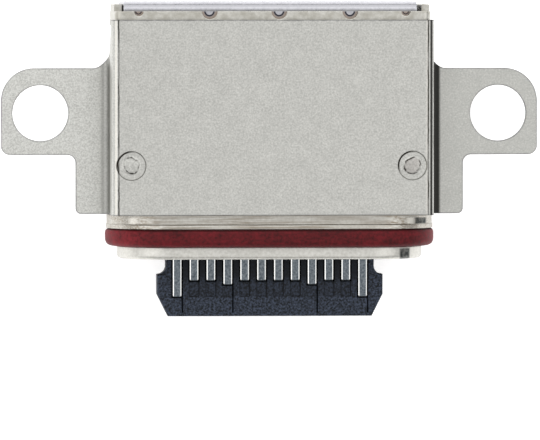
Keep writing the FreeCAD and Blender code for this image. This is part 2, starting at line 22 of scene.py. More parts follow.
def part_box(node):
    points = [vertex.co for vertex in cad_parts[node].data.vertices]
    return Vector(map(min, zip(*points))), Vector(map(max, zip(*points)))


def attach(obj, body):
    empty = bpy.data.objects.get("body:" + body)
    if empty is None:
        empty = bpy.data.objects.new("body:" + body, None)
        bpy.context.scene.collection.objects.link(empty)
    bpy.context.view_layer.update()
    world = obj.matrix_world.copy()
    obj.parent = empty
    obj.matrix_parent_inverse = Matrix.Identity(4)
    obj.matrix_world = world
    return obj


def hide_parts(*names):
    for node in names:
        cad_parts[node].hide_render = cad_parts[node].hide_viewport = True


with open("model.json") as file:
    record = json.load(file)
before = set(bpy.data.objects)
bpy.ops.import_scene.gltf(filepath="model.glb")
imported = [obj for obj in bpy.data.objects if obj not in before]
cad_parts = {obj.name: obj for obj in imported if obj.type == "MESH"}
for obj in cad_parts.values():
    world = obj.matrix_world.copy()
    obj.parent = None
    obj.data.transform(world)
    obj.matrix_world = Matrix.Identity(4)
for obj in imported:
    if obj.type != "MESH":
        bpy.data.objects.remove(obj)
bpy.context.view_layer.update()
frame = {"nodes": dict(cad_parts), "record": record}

MM = 0.001
print("pieces in the frame:", len(frame["nodes"]))

# %% [markdown]
# ## Sizes that the pieces share
#
# Blender works in metres, but a socket is easier to think of in millimetres, so every shape below
# is worked out in millimetres and scaled once, when its mesh is made. Outer sizes are read from
# the frame, and the rest are the same named sizes that the part is drawn with.

# %% Read the outer sizes from the frame


def node_box(node):
    """Lowest and highest corner of a node of the frame, in millimetres."""
    low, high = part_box(node)
    return np.array(low) / MM, np.array(high) / MM


cover_low, cover_high = node_box("bracket_cover")
shell_low, shell_high = node_box("front_shell")
seal_low, seal_high = node_box("seal_ring")
back_low, back_high = node_box("rear_cover")
tongue_low, _ = node_box("tongue_body")
holes = next(mount for mount in frame["record"]["mounts"] if mount["name"] == "ear_holes")

SHEET = 0.15
HOLE_RADIUS = holes["dims"]["hole_r_mm"]
HOLE_PLACE = holes["dims"]["spacing_x_mm"] / 2
OPENING = (4.17, 1.28)
FLOOR_LEVEL = back_low[2]
print("cover", cover_high - cover_low, "hole radius", HOLE_RADIUS)

# %% [markdown]
# ## From arrays to a piece
#
# Every surface ends as the same thing: an array of points and a list of faces. One function
# welds the seams, turns the faces outwards, marks the true corners as sharp and lets the larger
# faces rule the shading, which is how a flat stamped sheet keeps a flat reflection right up to
# its rounded edge.

# %% Helpers that turn points and faces into a piece
WELD = 2e-7
CORNER_ANGLE = math.radians(35)


def grid_faces(rows, columns, wrap_rows=False, wrap_columns=False, start=0):
    """Quads of a grid of rows and columns: each joins a point to its right and upper neighbours."""
    number = np.arange(rows * columns).reshape(rows, columns) + start
    if wrap_rows:
        number = np.vstack([number, number[:1]])
    if wrap_columns:
        number = np.hstack([number, number[:, :1]])
    corners = (number[:-1, :-1], number[:-1, 1:], number[1:, 1:], number[1:, :-1])
    return np.stack(corners, axis=-1).reshape(-1, 4)


def joined(*solids):
    """Put several closed surfaces, each with its points and faces, into one."""
    points, faces, start = [], [], 0
    for more_points, more_faces, *_ in solids:
        points.append(more_points)
        faces += [[corner + start for corner in face] for face in more_faces]
        start += len(more_points)
    return np.vstack(points), faces


def make_piece(name, solid, material, nodes):
    """Make a smooth closed piece from points in millimetres and faces, in place of some nodes."""
    points, faces, *rim = solid
    mesh = bpy.data.meshes.new(name)
    mesh.from_pydata((points * MM).tolist(), [], faces)
    if rim:
        mesh.attributes.new("rim", "FLOAT", "POINT").data.foreach_set("value", rim[0])
    work = bmesh.new()
    work.from_mesh(mesh)
    bmesh.ops.remove_doubles(work, verts=work.verts, dist=WELD)
    bmesh.ops.dissolve_degenerate(work, edges=work.edges, dist=WELD)
    bmesh.ops.recalc_face_normals(work, faces=work.faces)
    work.to_mesh(mesh)
    work.free()
    mesh.polygons.foreach_set("use_smooth", np.ones(len(mesh.polygons), bool))
    mesh.set_sharp_from_angle(angle=CORNER_ANGLE)
    mesh.materials.append(material)
    piece = bpy.data.objects.new(name, mesh)
    bpy.context.scene.collection.objects.link(piece)
    shading = piece.modifiers.new("large faces rule", "WEIGHTED_NORMAL")
    shading.keep_sharp = True
    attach(piece, "root")
    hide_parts(*nodes)
    open_edges = sum(1 for count in edge_use(mesh) if count != 2)
    print(f"{name}: {len(mesh.polygons)} faces, {open_edges} open edges")


def edge_use(mesh):
    """How many faces meet at each edge of a mesh."""
    edges = np.empty(len(mesh.loops), int)
    mesh.loops.foreach_get("edge_index", edges)
    return np.bincount(edges, minlength=len(mesh.edges))


print("an edge stays sharp from", round(math.degrees(CORNER_ANGLE)), "degrees")

# %% [markdown]
# ## Bent sheet
#
# The cover, the back sheet and all the contacts are made in the same way in the factory: a flat
# blank is stamped, then bent. The code follows that order. A bent path is a line of straight runs
# and arcs that turns the length along the blank into a place and a direction. A blank is an
# outline with holes, filled with triangles, because no single grid follows round holes. Its rim is
# a profile carried along the outline: the small roll that every stamping tool leaves. A number
# stored with each point, 1 on the rim and 0 elsewhere, lets a finish darken the sheared edge.

# %% The path of a bend


def bent_path(start, heading, runs):
    """Path of straight runs and arcs in a plane: a function of length and height, and its joints.

    Each run is (length, turn in degrees). An arc's curvature is its turn over its length. At a
    distance d along it the heading is h + k d, and the place is the integral of that direction:
    (sin(h + k d) - sin h, cos h - cos(h + k d)) / k. The height is added along the left normal.
    """
    lengths = np.array([length for length, _ in runs])
    turns = np.radians([turn for _, turn in runs])
    curvature = turns / lengths
    begins = np.concatenate([[0], np.cumsum(lengths)])
    headings = math.radians(heading) + np.concatenate([[0], np.cumsum(turns)])
    corners = [np.array(start, float)]
    for length, turn, bend, angle in zip(lengths, turns, curvature, headings):
        corners.append(corners[-1] + along_arc(angle, bend, length))

    def place(length, height):
        """The point at each length along the path, raised along the normal by each height."""
        run = np.clip(np.searchsorted(begins, length, side="right") - 1, 0, len(runs) - 1)
        angle, bend, distance = headings[run], curvature[run], length - begins[run]
        turned = angle + bend * distance
        normal = np.stack([-np.sin(turned), np.cos(turned)], axis=-1)
        return np.array(corners)[run] + along_arc(angle, bend, distance) + normal * height[:, None]

    return place, begins


def along_arc(angle, bend, distance):
    """Where an arc that sets out at an angle is after a distance, measured from its start."""
    angle, bend, distance = np.broadcast_arrays(angle, bend, distance)
    straight = np.abs(bend) < 1e-9
    safe = np.where(straight, 1, bend)
    turned = angle + bend * distance
    across = np.where(straight, distance * np.cos(angle), (np.sin(turned) - np.sin(angle)) / safe)
    up = np.where(straight, distance * np.sin(angle), (np.cos(angle) - np.cos(turned)) / safe)
    return np.stack([across, up], axis=-1)


def arc(centre, radius, first, last, steps=8):
    """Points of an arc: centre plus radius times (cos, sin) of evenly spaced angles in degrees."""
    angle = np.radians(np.linspace(first, last, steps + 1))
    return np.array(centre) + radius * np.stack([np.cos(angle), np.sin(angle)], axis=-1)


def ring(centre, radius, steps=64):
    """A full circle of points."""
    return arc(centre, radius, 0, 360, steps)[:-1]


def box_outline(left, right, low, high, radius=0.0, steps=4):
    """Rectangle, with round corners where a radius is given, as a closed loop to the left."""
    if not radius:
        return np.array([(left, low), (right, low), (right, high), (left, high)], float)
    return np.vstack([
        arc((right - radius, low + radius), radius, -90, 0, steps),
        arc((right - radius, high - radius), radius, 0, 90, steps),
        arc((left + radius, high - radius), radius, 90, 180, steps),
        arc((left + radius, low + radius), radius, 180, 270, steps),
    ])


print("a quarter turn over a length of 1 ends at", along_arc(0.0, math.pi / 2, 1.0).round(3))

# %% The blank and its rim
RIM_BAND = 0.03
RIM_STEPS = 4


def fold_points(lines, level):
    """The points of an edge that lie on the fold lines, all at one place across the blank."""
    return np.stack([lines, np.full_like(lines, level)], axis=-1)


def loop_normals(loop):
    """Outward normals of a loop that runs to the left, long enough to keep straight sides true."""
    ahead = np.roll(loop, -1, axis=0) - loop
    ahead /= np.linalg.norm(ahead, axis=1, keepdims=True)
    sides = np.stack([ahead[:, 1], -ahead[:, 0]], axis=-1)
    middle = sides + np.roll(sides, 1, axis=0)
    return 2 * middle / np.sum(middle * middle, axis=1, keepdims=True)


def inside(points, loop):
    """Which points a loop holds: those that an odd number of its sides passes on the right."""
    x, y = points[:, :1], points[:, 1:]
    start, end = loop, np.roll(loop, -1, axis=0)
    crosses = (start[:, 1] > y) != (end[:, 1] > y)
    rise = np.where(end[:, 1] == start[:, 1], 1, end[:, 1] - start[:, 1])
    at = start[:, 0] + (y - start[:, 1]) * (end[:, 0] - start[:, 0]) / rise
    return np.sum(crosses & (x < at), axis=1) % 2 == 1


def closed_loop(start, count):
    """Edges that join consecutive points into a loop."""
    number = np.arange(count)
    return (np.stack([number, (number + 1) % count], axis=-1) + start).tolist()


def crease_ends(outline, crease):
    """The two points of the outline that lie on a crease."""
    ends = np.flatnonzero(np.abs(outline[:, 0] - crease) < 1e-6)
    return [int(ends[0]), int(ends[-1])]


def rim_profile(thickness, roll):
    """Half section of a rim: how far in from the outline and how high, from the top to the foot.

    Two quarter circles of radius r = roll: r (cos a - 1) inwards, and thickness / 2 - r + r sin a
    up or down.
    """
    angle = np.radians(np.linspace(90, 0, RIM_STEPS + 1))
    inward = roll * (np.cos(angle) - 1)
    height = thickness / 2 - roll + roll * np.sin(angle)
    return np.concatenate([inward, inward[::-1]]), np.concatenate([height, -height[::-1]])


def filled_blank(rings, creases, extra):
    """Fill a flat blank with triangles whose sides follow its rings and its creases.

    rings are (loop, depth), creases are pairs of point numbers, and extra points refine the
    filling. The results are the points, the triangles, how deep each point is sunk, the number
    that each point had among those given (or -1), and the number that each given point has now.
    """
    sizes = [len(loop) for loop, _ in rings]
    starts = np.cumsum([0, *sizes])
    edges = [edge for start, size in zip(starts, sizes) for edge in closed_loop(start, size)]
    given = np.vstack([*(loop for loop, _ in rings), np.reshape(extra, (-1, 2))])
    sunk = np.repeat([*(float(depth) for _, depth in rings), 0.0], [*sizes, len(extra)])
    points, _, triangles, origins, *_ = delaunay_2d_cdt(
        [Vector(point) for point in given], edges + creases, [], 1, 1e-7)
    counts = [len(ids) for ids in origins]
    number_now = np.full(len(given), -1)
    number_now[np.concatenate([ids for ids in origins if ids])] = np.repeat(
        np.arange(len(counts)), counts)
    number_given = np.array([ids[0] if ids else -1 for ids in origins])
    depth = np.where(number_given >= 0, sunk[number_given], 0)
    points = np.array([tuple(point) for point in points])
    return points, np.array(triangles), depth, number_given, number_now


def stamped(outline, thickness, roll, bend, openings=(), creases=(), extra=(), dents=(),
            relief=None):
    """A closed sheet: blank filled with triangles, its rim, and every point carried by bend.

    bend(u, v, h) gives the place of the blank's point (u, v) at the height h over its middle.
    creases are values of u where the blank turns. dents are (loop, depth, wall) on both faces.
    relief(u, v) raises the upper face only. The third result is 1 on the rim and 0 elsewhere.
    """
    inward, height = rim_profile(thickness, roll)
    loops = [outline] + [opening[::-1] for opening in openings]
    normals = [loop_normals(loop) for loop in loops]
    flats = [loop - roll * normal for loop, normal in zip(loops, normals)]
    rings = [(flat, 0) for flat in flats]
    rings += [(flat - RIM_BAND * normal, 0) for flat, normal in zip(flats, normals)]
    for loop, depth, wall in dents:
        rings += [(loop, 0), (loop - wall * loop_normals(loop), depth)]
    blank, triangles, sunk, number_given, number_now = filled_blank(
        rings, [crease_ends(outline, crease) for crease in creases], extra)
    middles = blank[triangles].mean(axis=1)
    keep = inside(middles, flats[0])
    for flat in flats[1:]:
        keep &= ~inside(middles, flat)
    triangles = triangles[keep]

    u, v = blank.T
    lift = relief(u, v) if relief else 0
    points = [bend(u, v, thickness / 2 - sunk + lift), bend(u, v, sunk - thickness / 2)]
    faces = triangles.tolist() + (triangles[:, ::-1] + len(u)).tolist()
    base, begin = 2 * len(u), 0
    for loop, normal in zip(loops, normals):
        rows = loop + inward[1:-1, None, None] * normal
        rise = np.broadcast_to(height[1:-1, None], rows.shape[:2]).ravel()
        points.append(bend(*rows.reshape(-1, 2).T, rise))
        edge = number_now[begin:begin + len(loop)]
        number = np.vstack([edge, base + np.arange(len(rise)).reshape(-1, len(loop)),
                            edge + len(u)])
        number = np.hstack([number, number[:, :1]])
        quads = np.stack([number[:-1, 1:], number[:-1, :-1], number[1:, :-1], number[1:, 1:]], -1)
        faces += quads.reshape(-1, 4).tolist()
        begin += len(loop)
        base += len(rise)
    on_rim = (number_given >= 0) & (number_given < begin)
    rim = np.concatenate([on_rim, on_rim, np.ones(base - 2 * len(u))])
    return np.vstack(points), faces, rim


print("a square holds its middle:", inside(np.array([(0.5, 0.5)]), box_outline(0, 1, 0, 1)))

# %% [markdown]
# ## Lofted ovals
#
# The shell and the seal are the other family: an oval or a rounded box that grows and shrinks
# along Y. One section with four corners and four sides serves them all, because an oval is only a
# rounded box whose corner radius is half of its height. A list of stations gives the half width,
# half height, corner radius and place of each ring.

# %% Sections and lofts


def section(top, foot, side, corner_steps=12):
    """Directions of a closed section: where each point sits between the corner centres (fx, fz)
    and which way it leaves them (cx, cz). top, foot and side are shares from -1 to 1."""
    angle = np.radians(np.linspace(0, 90, corner_steps + 1))
    parts = []
    sides = {0: (top[::-1], 0, 1), 1: (side[::-1], -1, 0), 2: (foot, 0, -1), 3: (side, 1, 0)}
    for quarter in range(4):
        turned = angle + quarter * math.pi / 2
        sign_x = 1 if quarter in (0, 3) else -1
        sign_z = 1 if quarter in (0, 1) else -1
        corner = np.stack([np.full_like(turned, sign_x), np.full_like(turned, sign_z),
                           np.cos(turned), np.sin(turned)], axis=-1)
        parts.append(corner)
        shares, cos_side, sin_side = sides[quarter]
        run = np.zeros((len(shares), 4))
        run[:, 0] = shares if cos_side == 0 else cos_side
        run[:, 1] = shares if sin_side == 0 else sin_side
        run[:, 2] = cos_side
        run[:, 3] = sin_side
        parts.append(run)
    return np.vstack(parts)


def soften(stations, steps=4):
    """Round the corners of a list of stations (half width, half height, corner, place, radius).

    Each corner gives way to the parabola (1 - t)^2 A + 2 t (1 - t) S + t^2 B, where A and B lie a
    radius away from the corner S on the lines to its neighbours.
    """
    stations = np.array(stations, float)
    share = np.linspace(0, 1, steps + 1)[:, None]
    rows = []
    for before, here, after in zip(np.roll(stations, 1, axis=0), stations,
                                   np.roll(stations, -1, axis=0)):
        radius = here[4]
        if radius == 0:
            rows.append(here[None, :4])
            continue
        near, far = [here[:4] + (other[:4] - here[:4])
                     * min(0.45, radius / max(1e-9, np.abs(other[:4] - here[:4]).max()))
                     for other in (before, after)]
        rows.append((1 - share) ** 2 * near + 2 * share * (1 - share) * here[:4]
                    + share ** 2 * far)
    return np.vstack(rows)


def loft(around, stations):
    """Points of every station's section: corner centre plus corner radius times direction."""
    width, height, corner, place = stations.T[:, :, None]
    across = around[:, 0] * (width - corner) + around[:, 2] * corner
    up = around[:, 1] * (height - corner) + around[:, 3] * corner
    return np.stack([across, np.broadcast_to(place, across.shape), up], axis=-1)


def closed_tube(points):
    """A grid of stations whose last one joins its first, as in a tube with a wall."""
    rows, columns = points.shape[:2]
    return points.reshape(-1, 3), grid_faces(rows, columns, True, True).tolist()


def capped(points):
    """A grid of stations whose first and last one are closed by a face."""
    rows, columns = points.shape[:2]
    faces = grid_faces(rows, columns, False, True).tolist()
    faces += [list(range(columns))[::-1], list(range((rows - 1) * columns, rows * columns))]
    return points.reshape(-1, 3), faces


def rounded_box(low, high, radius):
    """Box with rounded edges: a loft with its two ends closed by shrinking to a line."""
    low, high = np.array(low, float), np.array(high, float)
    half = (high - low) / 2
    tiny = 1e-4
    points, faces = capped(loft(section([], [], [], 4), soften([
        (tiny, tiny, tiny / 2, -half[1], 0),
        (half[0], half[2], radius, -half[1], radius),
        (half[0], half[2], radius, half[1], radius),
        (tiny, tiny, tiny / 2, half[1], 0),
    ])))
    return points + (high + low) / 2, faces


print("points round a plain section:", len(section([], [], [])))

# %% [markdown]
# ## Finishes
#
# Four families of material dress the socket: rolled steel, plated strip, silicone and a moulded
# resin. A picture could be wrapped round each piece, but noise needs no unwrapping, never repeats
# and stays sharp in a close view. All patterns are read from Object coordinates, which are metres,
# so the first node turns them into millimetres. To keep a pattern as short as a formula, a small
# class stands for what a node gives, and the usual signs of arithmetic add the next node.

# %% Arithmetic in nodes


class Value:
    """What a node gives at each point of a surface; the signs of arithmetic add more nodes."""

    def __init__(self, socket):
        self.socket = socket
        self.tree = socket.id_data

    def __add__(self, other):
        return maths("ADD", self, other)

    def __sub__(self, other):
        return maths("SUBTRACT", self, other)

    def __mul__(self, other):
        return maths("MULTIPLY", self, other)

    def __truediv__(self, other):
        return maths("DIVIDE", self, other)

    def __abs__(self):
        return maths("ABSOLUTE", self)


def add_node(tree, kind, inputs=None, **settings):
    """Add a node, choose its settings, and set each input or link it to a value."""
    node = tree.nodes.new(kind)
    for name, choice in settings.items():
        setattr(node, name, choice)
    for name, value in (inputs or {}).items():
        socket = node.inputs[name]
        if isinstance(value, Value):
            tree.links.new(value.socket, socket)
        else:
            socket.default_value = (*value, 1) if socket.type == "RGBA" else value
    return node


def maths(operation, *values):
    """One step of arithmetic. The first value is never a plain number."""
    step = add_node(values[0].tree, "ShaderNodeMath", dict(enumerate(values)), operation=operation)
    return Value(step.outputs["Value"])


def most(first, *others):
    """The largest of several values."""
    for other in others:
        first = maths("MAXIMUM", first, other)
    return first


def from_middle(across, along):
    """How far a point lies from a middle: the square root of x x + y y."""
    return maths("SQRT", across * across + along * along)


# %% Bands, grains and blends


def axes(place):
    """The three coordinates of a place, each as a value."""
    parts = add_node(place.tree, "ShaderNodeSeparateXYZ", {"Vector": place})
    return [Value(parts.outputs[name]) for name in "XYZ"]


def spread(value, low, high, start=0.3, end=0.7, **settings):
    """Carry the range from start to end over to low to high. Noise mostly fills 0.3 to 0.7."""
    ramp = add_node(value.tree, "ShaderNodeMapRange", {
        "Value": value, "From Min": start, "From Max": end, "To Min": low, "To Max": high},
        **settings)
    return Value(ramp.outputs["Result"])


def band(value, edges):
    """0 up to the first edge, 1 from the second to the third, and 0 again from the fourth."""
    return spread(value, 0, 1, *edges[:2]) * spread(value, 1, 0, *edges[2:])


def grain(place, size, detail=3.0, rough=0.55, stretch=(1, 1, 1)):
    """Noise whose grains are about size millimetres across, stretched along an axis."""
    scale = tuple(1 / (size * part) for part in stretch)
    turn = add_node(place.tree, "ShaderNodeMapping", {"Vector": place, "Scale": scale})
    noise = add_node(place.tree, "ShaderNodeTexNoise", {
        "Vector": Value(turn.outputs["Vector"]), "Scale": 1.0, "Detail": detail,
        "Roughness": rough})
    return Value(noise.outputs["Fac"])


def blend(share, first, second):
    """Mix two colours; a share of 1 gives the second."""
    mix = add_node(share.tree, "ShaderNodeMix", {"Factor": share, 6: first, 7: second},
                   data_type="RGBA")
    return Value(mix.outputs[2])


def start_material(name):
    """A new material, its shader, and the place on the piece in millimetres."""
    material = bpy.data.materials.new(name)
    material.use_nodes = True
    tree = material.node_tree
    metres = Value(add_node(tree, "ShaderNodeTexCoord").outputs["Object"])
    scale = add_node(tree, "ShaderNodeMapping", {"Vector": metres, "Scale": (1 / MM,) * 3})
    return material, tree.nodes["Principled BSDF"], Value(scale.outputs["Vector"])


def wire(shader, tone, roughness, relief, height):
    """Give the shader its colour, its roughness and a relief of some height in millimetres."""
    bump = add_node(tone.tree, "ShaderNodeBump", {
        "Height": relief, "Distance": height * MM, "Strength": 1.0})
    normal = Value(bump.outputs["Normal"])
    for name, value in (("Base Color", tone), ("Roughness", roughness), ("Normal", normal)):
        tone.tree.links.new(value.socket, shader.inputs[name])


# %% [markdown]
# ## Three recipes
#
# Rolled or plated metal is never one even tone: its grains differ a little in colour and gloss.
# The silicone has a cloudy depth, and the moulded resin shows pale flecks where its glass fibres
# lie near the skin. One colour with one roughness would be simpler, but in a close view it looks
# like paint. So each recipe mixes two tones by a noise, and may then hand its tone to a function
# that lays the marks of one piece over it.

# %% Metal, silicone and resin
CLOUD_SIZE = 9
CLOUD_RANGE = (0.96, 1.03)


def metal(name, dark, light, size, roughness, height, marks=None):
    """Metal with a fine mottle: two tones mixed by grains, uneven gloss and a low relief."""
    material, shader, place = start_material(name)
    mottle = grain(place, size)
    tone = blend(spread(mottle, 0, 1), dark, light)
    cloud = spread(grain(place, size * CLOUD_SIZE, 2.0), *CLOUD_RANGE)
    tint = add_node(tone.tree, "ShaderNodeVectorMath", {0: tone, "Scale": cloud},
                    operation="SCALE")
    tone = Value(tint.outputs["Vector"])
    if marks:
        tone = marks(place, tone)
    shader.inputs["Metallic"].default_value = 1.0
    wire(shader, tone, spread(mottle, *roughness), grain(place, size * 0.6), height)
    return material


def silicone(name, dark, light, marks):
    """Smooth silicone: deep red with a cloudy depth, fine dust-like grain and a soft sheen."""
    material, shader, place = start_material(name)
    dust = grain(place, 0.09)
    speck = dust * 0.6 + grain(place, 0.3, stretch=(2, 1, 1)) * 0.4
    tone = blend(spread(speck, 0, 1, 0.36, 0.64), dark, light)
    shader.inputs["Specular IOR Level"].default_value = 0.08
    wire(shader, marks(place, tone, speck), spread(dust, 0.42, 0.58), dust, 0.004)
    return material


def moulding(name, dark, light, marks=None):
    """Glass filled resin: blue black with pale flecks where fibres lie near the skin."""
    material, shader, place = start_material(name)
    fleck = grain(place, 0.06, 4.0, 0.65)
    tone = blend(spread(fleck, 0, 1, 0.40, 0.64), dark, light)
    if marks:
        tone = marks(place, tone)
    shader.inputs["Specular IOR Level"].default_value = 0.2
    wire(shader, tone, spread(fleck, 0.45, 0.62), fleck, 0.004)
    return material


print("a metre holds", round(1 / MM), "units of a pattern")

# %% [markdown]
# ## The stamped cover
#
# On the bench the cover starts as a flat blank: a plate, a wall on each side and an ear with its
# leg beyond each wall. The blank's length u runs from the middle of the plate outwards through
# the walls into the ears, and v runs from front to back. Two weld spots press small round dimples
# into the plate, each with a rough bead in the middle. A box with bevelled edges would be quicker,
# but a bent blank keeps one thickness all along, and its bends are as round as the real ones.

# %% [markdown]
# ### Marks on the cover
#
# Bending and welding leave traces, and some light and shade is painted in as well. A dark line runs
# along each top bend and the back edge, painted shade darkens the walls of the dimples, the welds
# have a broken burnt ring, the rims are darker than the faces, and a painted highlight runs along
# the top bends. The foot bends get painted shade, and the right top bend a painted dark reflection.
# They could be painted by hand, but a mark that is worked out from the place on the piece follows
# its sizes. So each mark is a band: four places, in millimetres, where it begins, is full, starts
# to fade and ends. Light from the left makes the left ear paler than the plate and the right one
# darker. An even studio can't do that, so their tone carries painted light and shade.

# %% Marks on the cover
COVER_SIDE = 4.75
DIMPLES = [(-4.168, -1.515), (4.105, -1.515)]
CREASE_SHIFT = 0.0145
CREASE = (4.544, 4.560, 4.583, 4.597)
LEFT_BEND_HIGHLIGHT = (-4.66, -4.63, -4.61, -4.585)
RIGHT_BEND_HIGHLIGHT = (4.48, 4.51, 4.53, 4.555)
FOOT_LEFT = (-5.02, -4.92, -4.76, -4.70)
FOOT_RIGHT = (4.70, 4.78, 5.02, 5.09)
BEND_RIGHT = (4.605, 4.654, 4.694, 4.706)
DIMPLE_WALL_SHADE = (0.405, 0.420, 0.430, 0.448)
DIMPLE_SHADE = (0.375, 0.395, 0.432, 0.445)
WELD_RING = (0.27, 0.30, 0.315, 0.345)
LIT_LEFT_EAR = (0.80, 0.805, 0.77)
SHADED_RIGHT_EAR = (0.42, 0.425, 0.40)
BEND_HIGHLIGHT_STEEL = (0.80, 0.76, 0.69)
DARK_RIM_TONE = (0.10, 0.10, 0.11)
WELD_BROWN = (0.36, 0.32, 0.305)
SHADE_AND_DARK_LINES = (0.030, 0.026, 0.022)
DEEP_SHADE = (0.012, 0.012, 0.011)


def dimple_marks(place, wander):
    """Painted shade on the dimple walls with the dark weld rings, and the brown disc of the right
    weld, as two shares.
    """
    across, along, _ = axes(place)
    rings, welds = [], []
    for middle_x, middle_y in DIMPLES:
        aside, behind = across - middle_x, along - middle_y
        away = from_middle(aside, behind)
        # Painted shade on each dimple wall, all round and more at the back left.
        back_left = spread(behind * 0.7 - aside, 0, 1, 0.15, 0.40)
        rings += [band(away, DIMPLE_WALL_SHADE) * 0.6, band(away, DIMPLE_SHADE) * back_left]
        uneven = away + wander * 0.16
        welds += [band(uneven, WELD_RING), spread(uneven, 0.14, 0, 0.29, 0.33)]
    broken = spread(grain(place, 0.16), 0.25, 1, 0.42, 0.56)
    right_disc = spread(uneven, 0.35, 0, 0.28, 0.34)
    return most(*rings, most(*welds) * broken), right_disc


def lay_cover_marks(place, tone):
    """Lay the marks over the tone: painted light and shade on the ears, a painted highlight on the
    top bends, dark rims and lines, weld rings, painted shade in the dimples and the foot bends, and
    a painted dark reflection on the right top bend.
    """
    across, along, up = axes(place)
    on_top = spread(up, 0, 1, 1.70, 1.74)
    low = spread(up, 1, 0, 0.35, 0.7)
    # Painted light and shade: the left ear is paler and the right one darker, as light comes from
    # the left.
    ears = spread(abs(across), 0, 1, 4.9, 5.1) * low
    speckle = spread(grain(place, 0.042), 0, 0.5, 0.40, 0.60)
    painted_ear_light = blend(spread(across, 0, 1, -1, 1), LIT_LEFT_EAR, SHADED_RIGHT_EAR)
    tone = blend(ears * speckle, tone, painted_ear_light)
    # Painted highlight along the top bends: full on the left, half on the right.
    bend_highlight = band(across, LEFT_BEND_HIGHLIGHT) + band(across, RIGHT_BEND_HIGHLIGHT) * 0.5
    tone = blend(bend_highlight * on_top * 0.5, tone, BEND_HIGHLIGHT_STEEL)

    wander = grain(place, 0.22, 2.0)
    rings, right_disc = dimple_marks(place, wander)
    tone = blend(right_disc, tone, WELD_BROWN)
    patchy = spread(grain(place, 0.3, stretch=(1, 3, 1)), 0.65, 1.0, 0.40, 0.54)
    # The rims are darkened in patches.
    rim = Value(add_node(tone.tree, "ShaderNodeAttribute", attribute_name="rim").outputs["Fac"])
    tone = blend(rim * (patchy * 0.55 + 0.1), tone, DARK_RIM_TONE)
    # A dark line along each top bend and the back edge, and painted shade in the dimples.
    crease = band(abs(across - CREASE_SHIFT) + wander * 0.03, CREASE) * patchy
    rear = spread(along, 0, 0.25, 2.725, 2.745) * patchy
    tone = blend(most(crease, rings, rear) * on_top, tone, SHADE_AND_DARK_LINES)

    # Painted shade in the foot bends, darker on the right, and a painted dark reflection along the
    # right top bend.
    foot = (band(across, FOOT_LEFT) * 0.40 + band(across, FOOT_RIGHT) * 0.96) * low
    bend = most(band(across, BEND_RIGHT) * 0.93, spread(across, 0, 0.6, 4.728, 4.742))
    return blend(most(bend * spread(up, 0, 1, 1.5, 1.6), foot), tone, DEEP_SHADE)


cover_steel = metal("cover_steel", (0.42, 0.42, 0.395), (0.60, 0.595, 0.565), 0.05,
                    (0.34, 0.44), 0.003, lay_cover_marks)
print("nodes in the cover's steel:", len(cover_steel.node_tree.nodes))

# %% Bend the cover
TOP_BEND = 0.07
FOOT_BEND = 0.2
BEND_STEPS = 10
EAR_BACK = 1.33
EAR_FRONT = 1.235
EAR_TIP = 0.98
EAR_CORNER = 0.27
LEG_WIDTH = 0.995
LEG_CORNER = 0.16
LEG_ROOT = 0.24
SWEEP_RADIUS = 0.35
SWEEP_START = 0.16
COVER_ROLL = 0.012
FRONT_DROP = 0.02
FRONT_REACH = 0.10
DIMPLE_RADIUS = 0.43
DIMPLE_WALL = 0.02
DIMPLE_DEPTH = 0.05
WELD_RADIUS = 0.255
WELD_HEIGHT = 0.035
DIMPLE_RINGS = [0.06, 0.12, 0.18, 0.22, 0.245, 0.26, 0.30, 0.36, 0.40, 0.41, 0.43, 0.445]
FRONT_LINES = [0.35, 0.5, 0.65, 0.82, 1.0]
BESIDE_BEND = 0.03


def quarter(radius):
    """Length of a right-angled bend along the middle of the sheet."""
    return (radius + SHEET / 2) * math.pi / 2


cover_top = cover_high[2]
cover_path, cover_marks = bent_path((0, cover_top - SHEET / 2), 0, [
    (COVER_SIDE - TOP_BEND - SHEET, 0),
    (quarter(TOP_BEND), -90),
    (cover_top - TOP_BEND - SHEET - FOOT_BEND - SHEET, 0),
    (quarter(FOOT_BEND), 90),
    (cover_high[0] - COVER_SIDE - FOOT_BEND, 0),
])


def bend_cover(u, v, height):
    """Carry a blank point: the path gives x and z for the length |u| and the height."""
    spot = cover_path(np.abs(u), height)
    return np.stack([np.sign(u) * spot[:, 0], v, spot[:, 1]], axis=-1)


def cover_outline():
    """Closed outline of the blank: the right half, then its mirror image."""
    plate, wall, wall_foot, ear = cover_marks[1:5]
    end = cover_marks[5]
    front, back = cover_low[1], cover_high[1]
    top_lines = np.linspace(plate, wall, BEND_STEPS + 1)
    foot_lines = np.linspace(wall_foot, ear, BEND_STEPS + 1)
    leg = ear + LEG_WIDTH - FOOT_BEND
    corner = ear + SWEEP_START
    slope = (back - EAR_BACK) / (corner - wall)
    tilt = math.atan(slope)
    reach = SWEEP_RADIUS * math.tan(tilt / 2)

    start = corner + reach
    turn = start - SWEEP_RADIUS * np.sin(np.linspace(0, tilt, 9))
    swept = np.unique(np.concatenate([turn, foot_lines]).round(9))[::-1]
    round_part = EAR_BACK + SWEEP_RADIUS - np.sqrt(
        np.clip(SWEEP_RADIUS ** 2 - np.clip(start - swept, 0, None) ** 2, 0, None))
    straight_part = EAR_BACK + slope * (corner - swept)
    on_arc = swept > start - SWEEP_RADIUS * math.sin(tilt)
    sweep_edge = np.stack([swept, np.where(on_arc, round_part, straight_part)], axis=-1)
    right = np.vstack([
        fold_points(np.concatenate([top_lines, foot_lines]), front),
        arc((leg - LEG_CORNER, front + LEG_CORNER), LEG_CORNER, -90, 0),
        arc((leg + LEG_ROOT, -EAR_FRONT - LEG_ROOT), LEG_ROOT, 180, 90),
        arc((end - EAR_CORNER, -EAR_FRONT + EAR_CORNER), EAR_CORNER, -90, 0),
        arc((end - EAR_TIP, EAR_BACK - EAR_TIP), EAR_TIP, 0, 90, 16),
        sweep_edge,
        fold_points(top_lines[::-1], back),
    ])
    left = right[::-1] * (-1, 1)
    return np.vstack([right, left]), top_lines, foot_lines


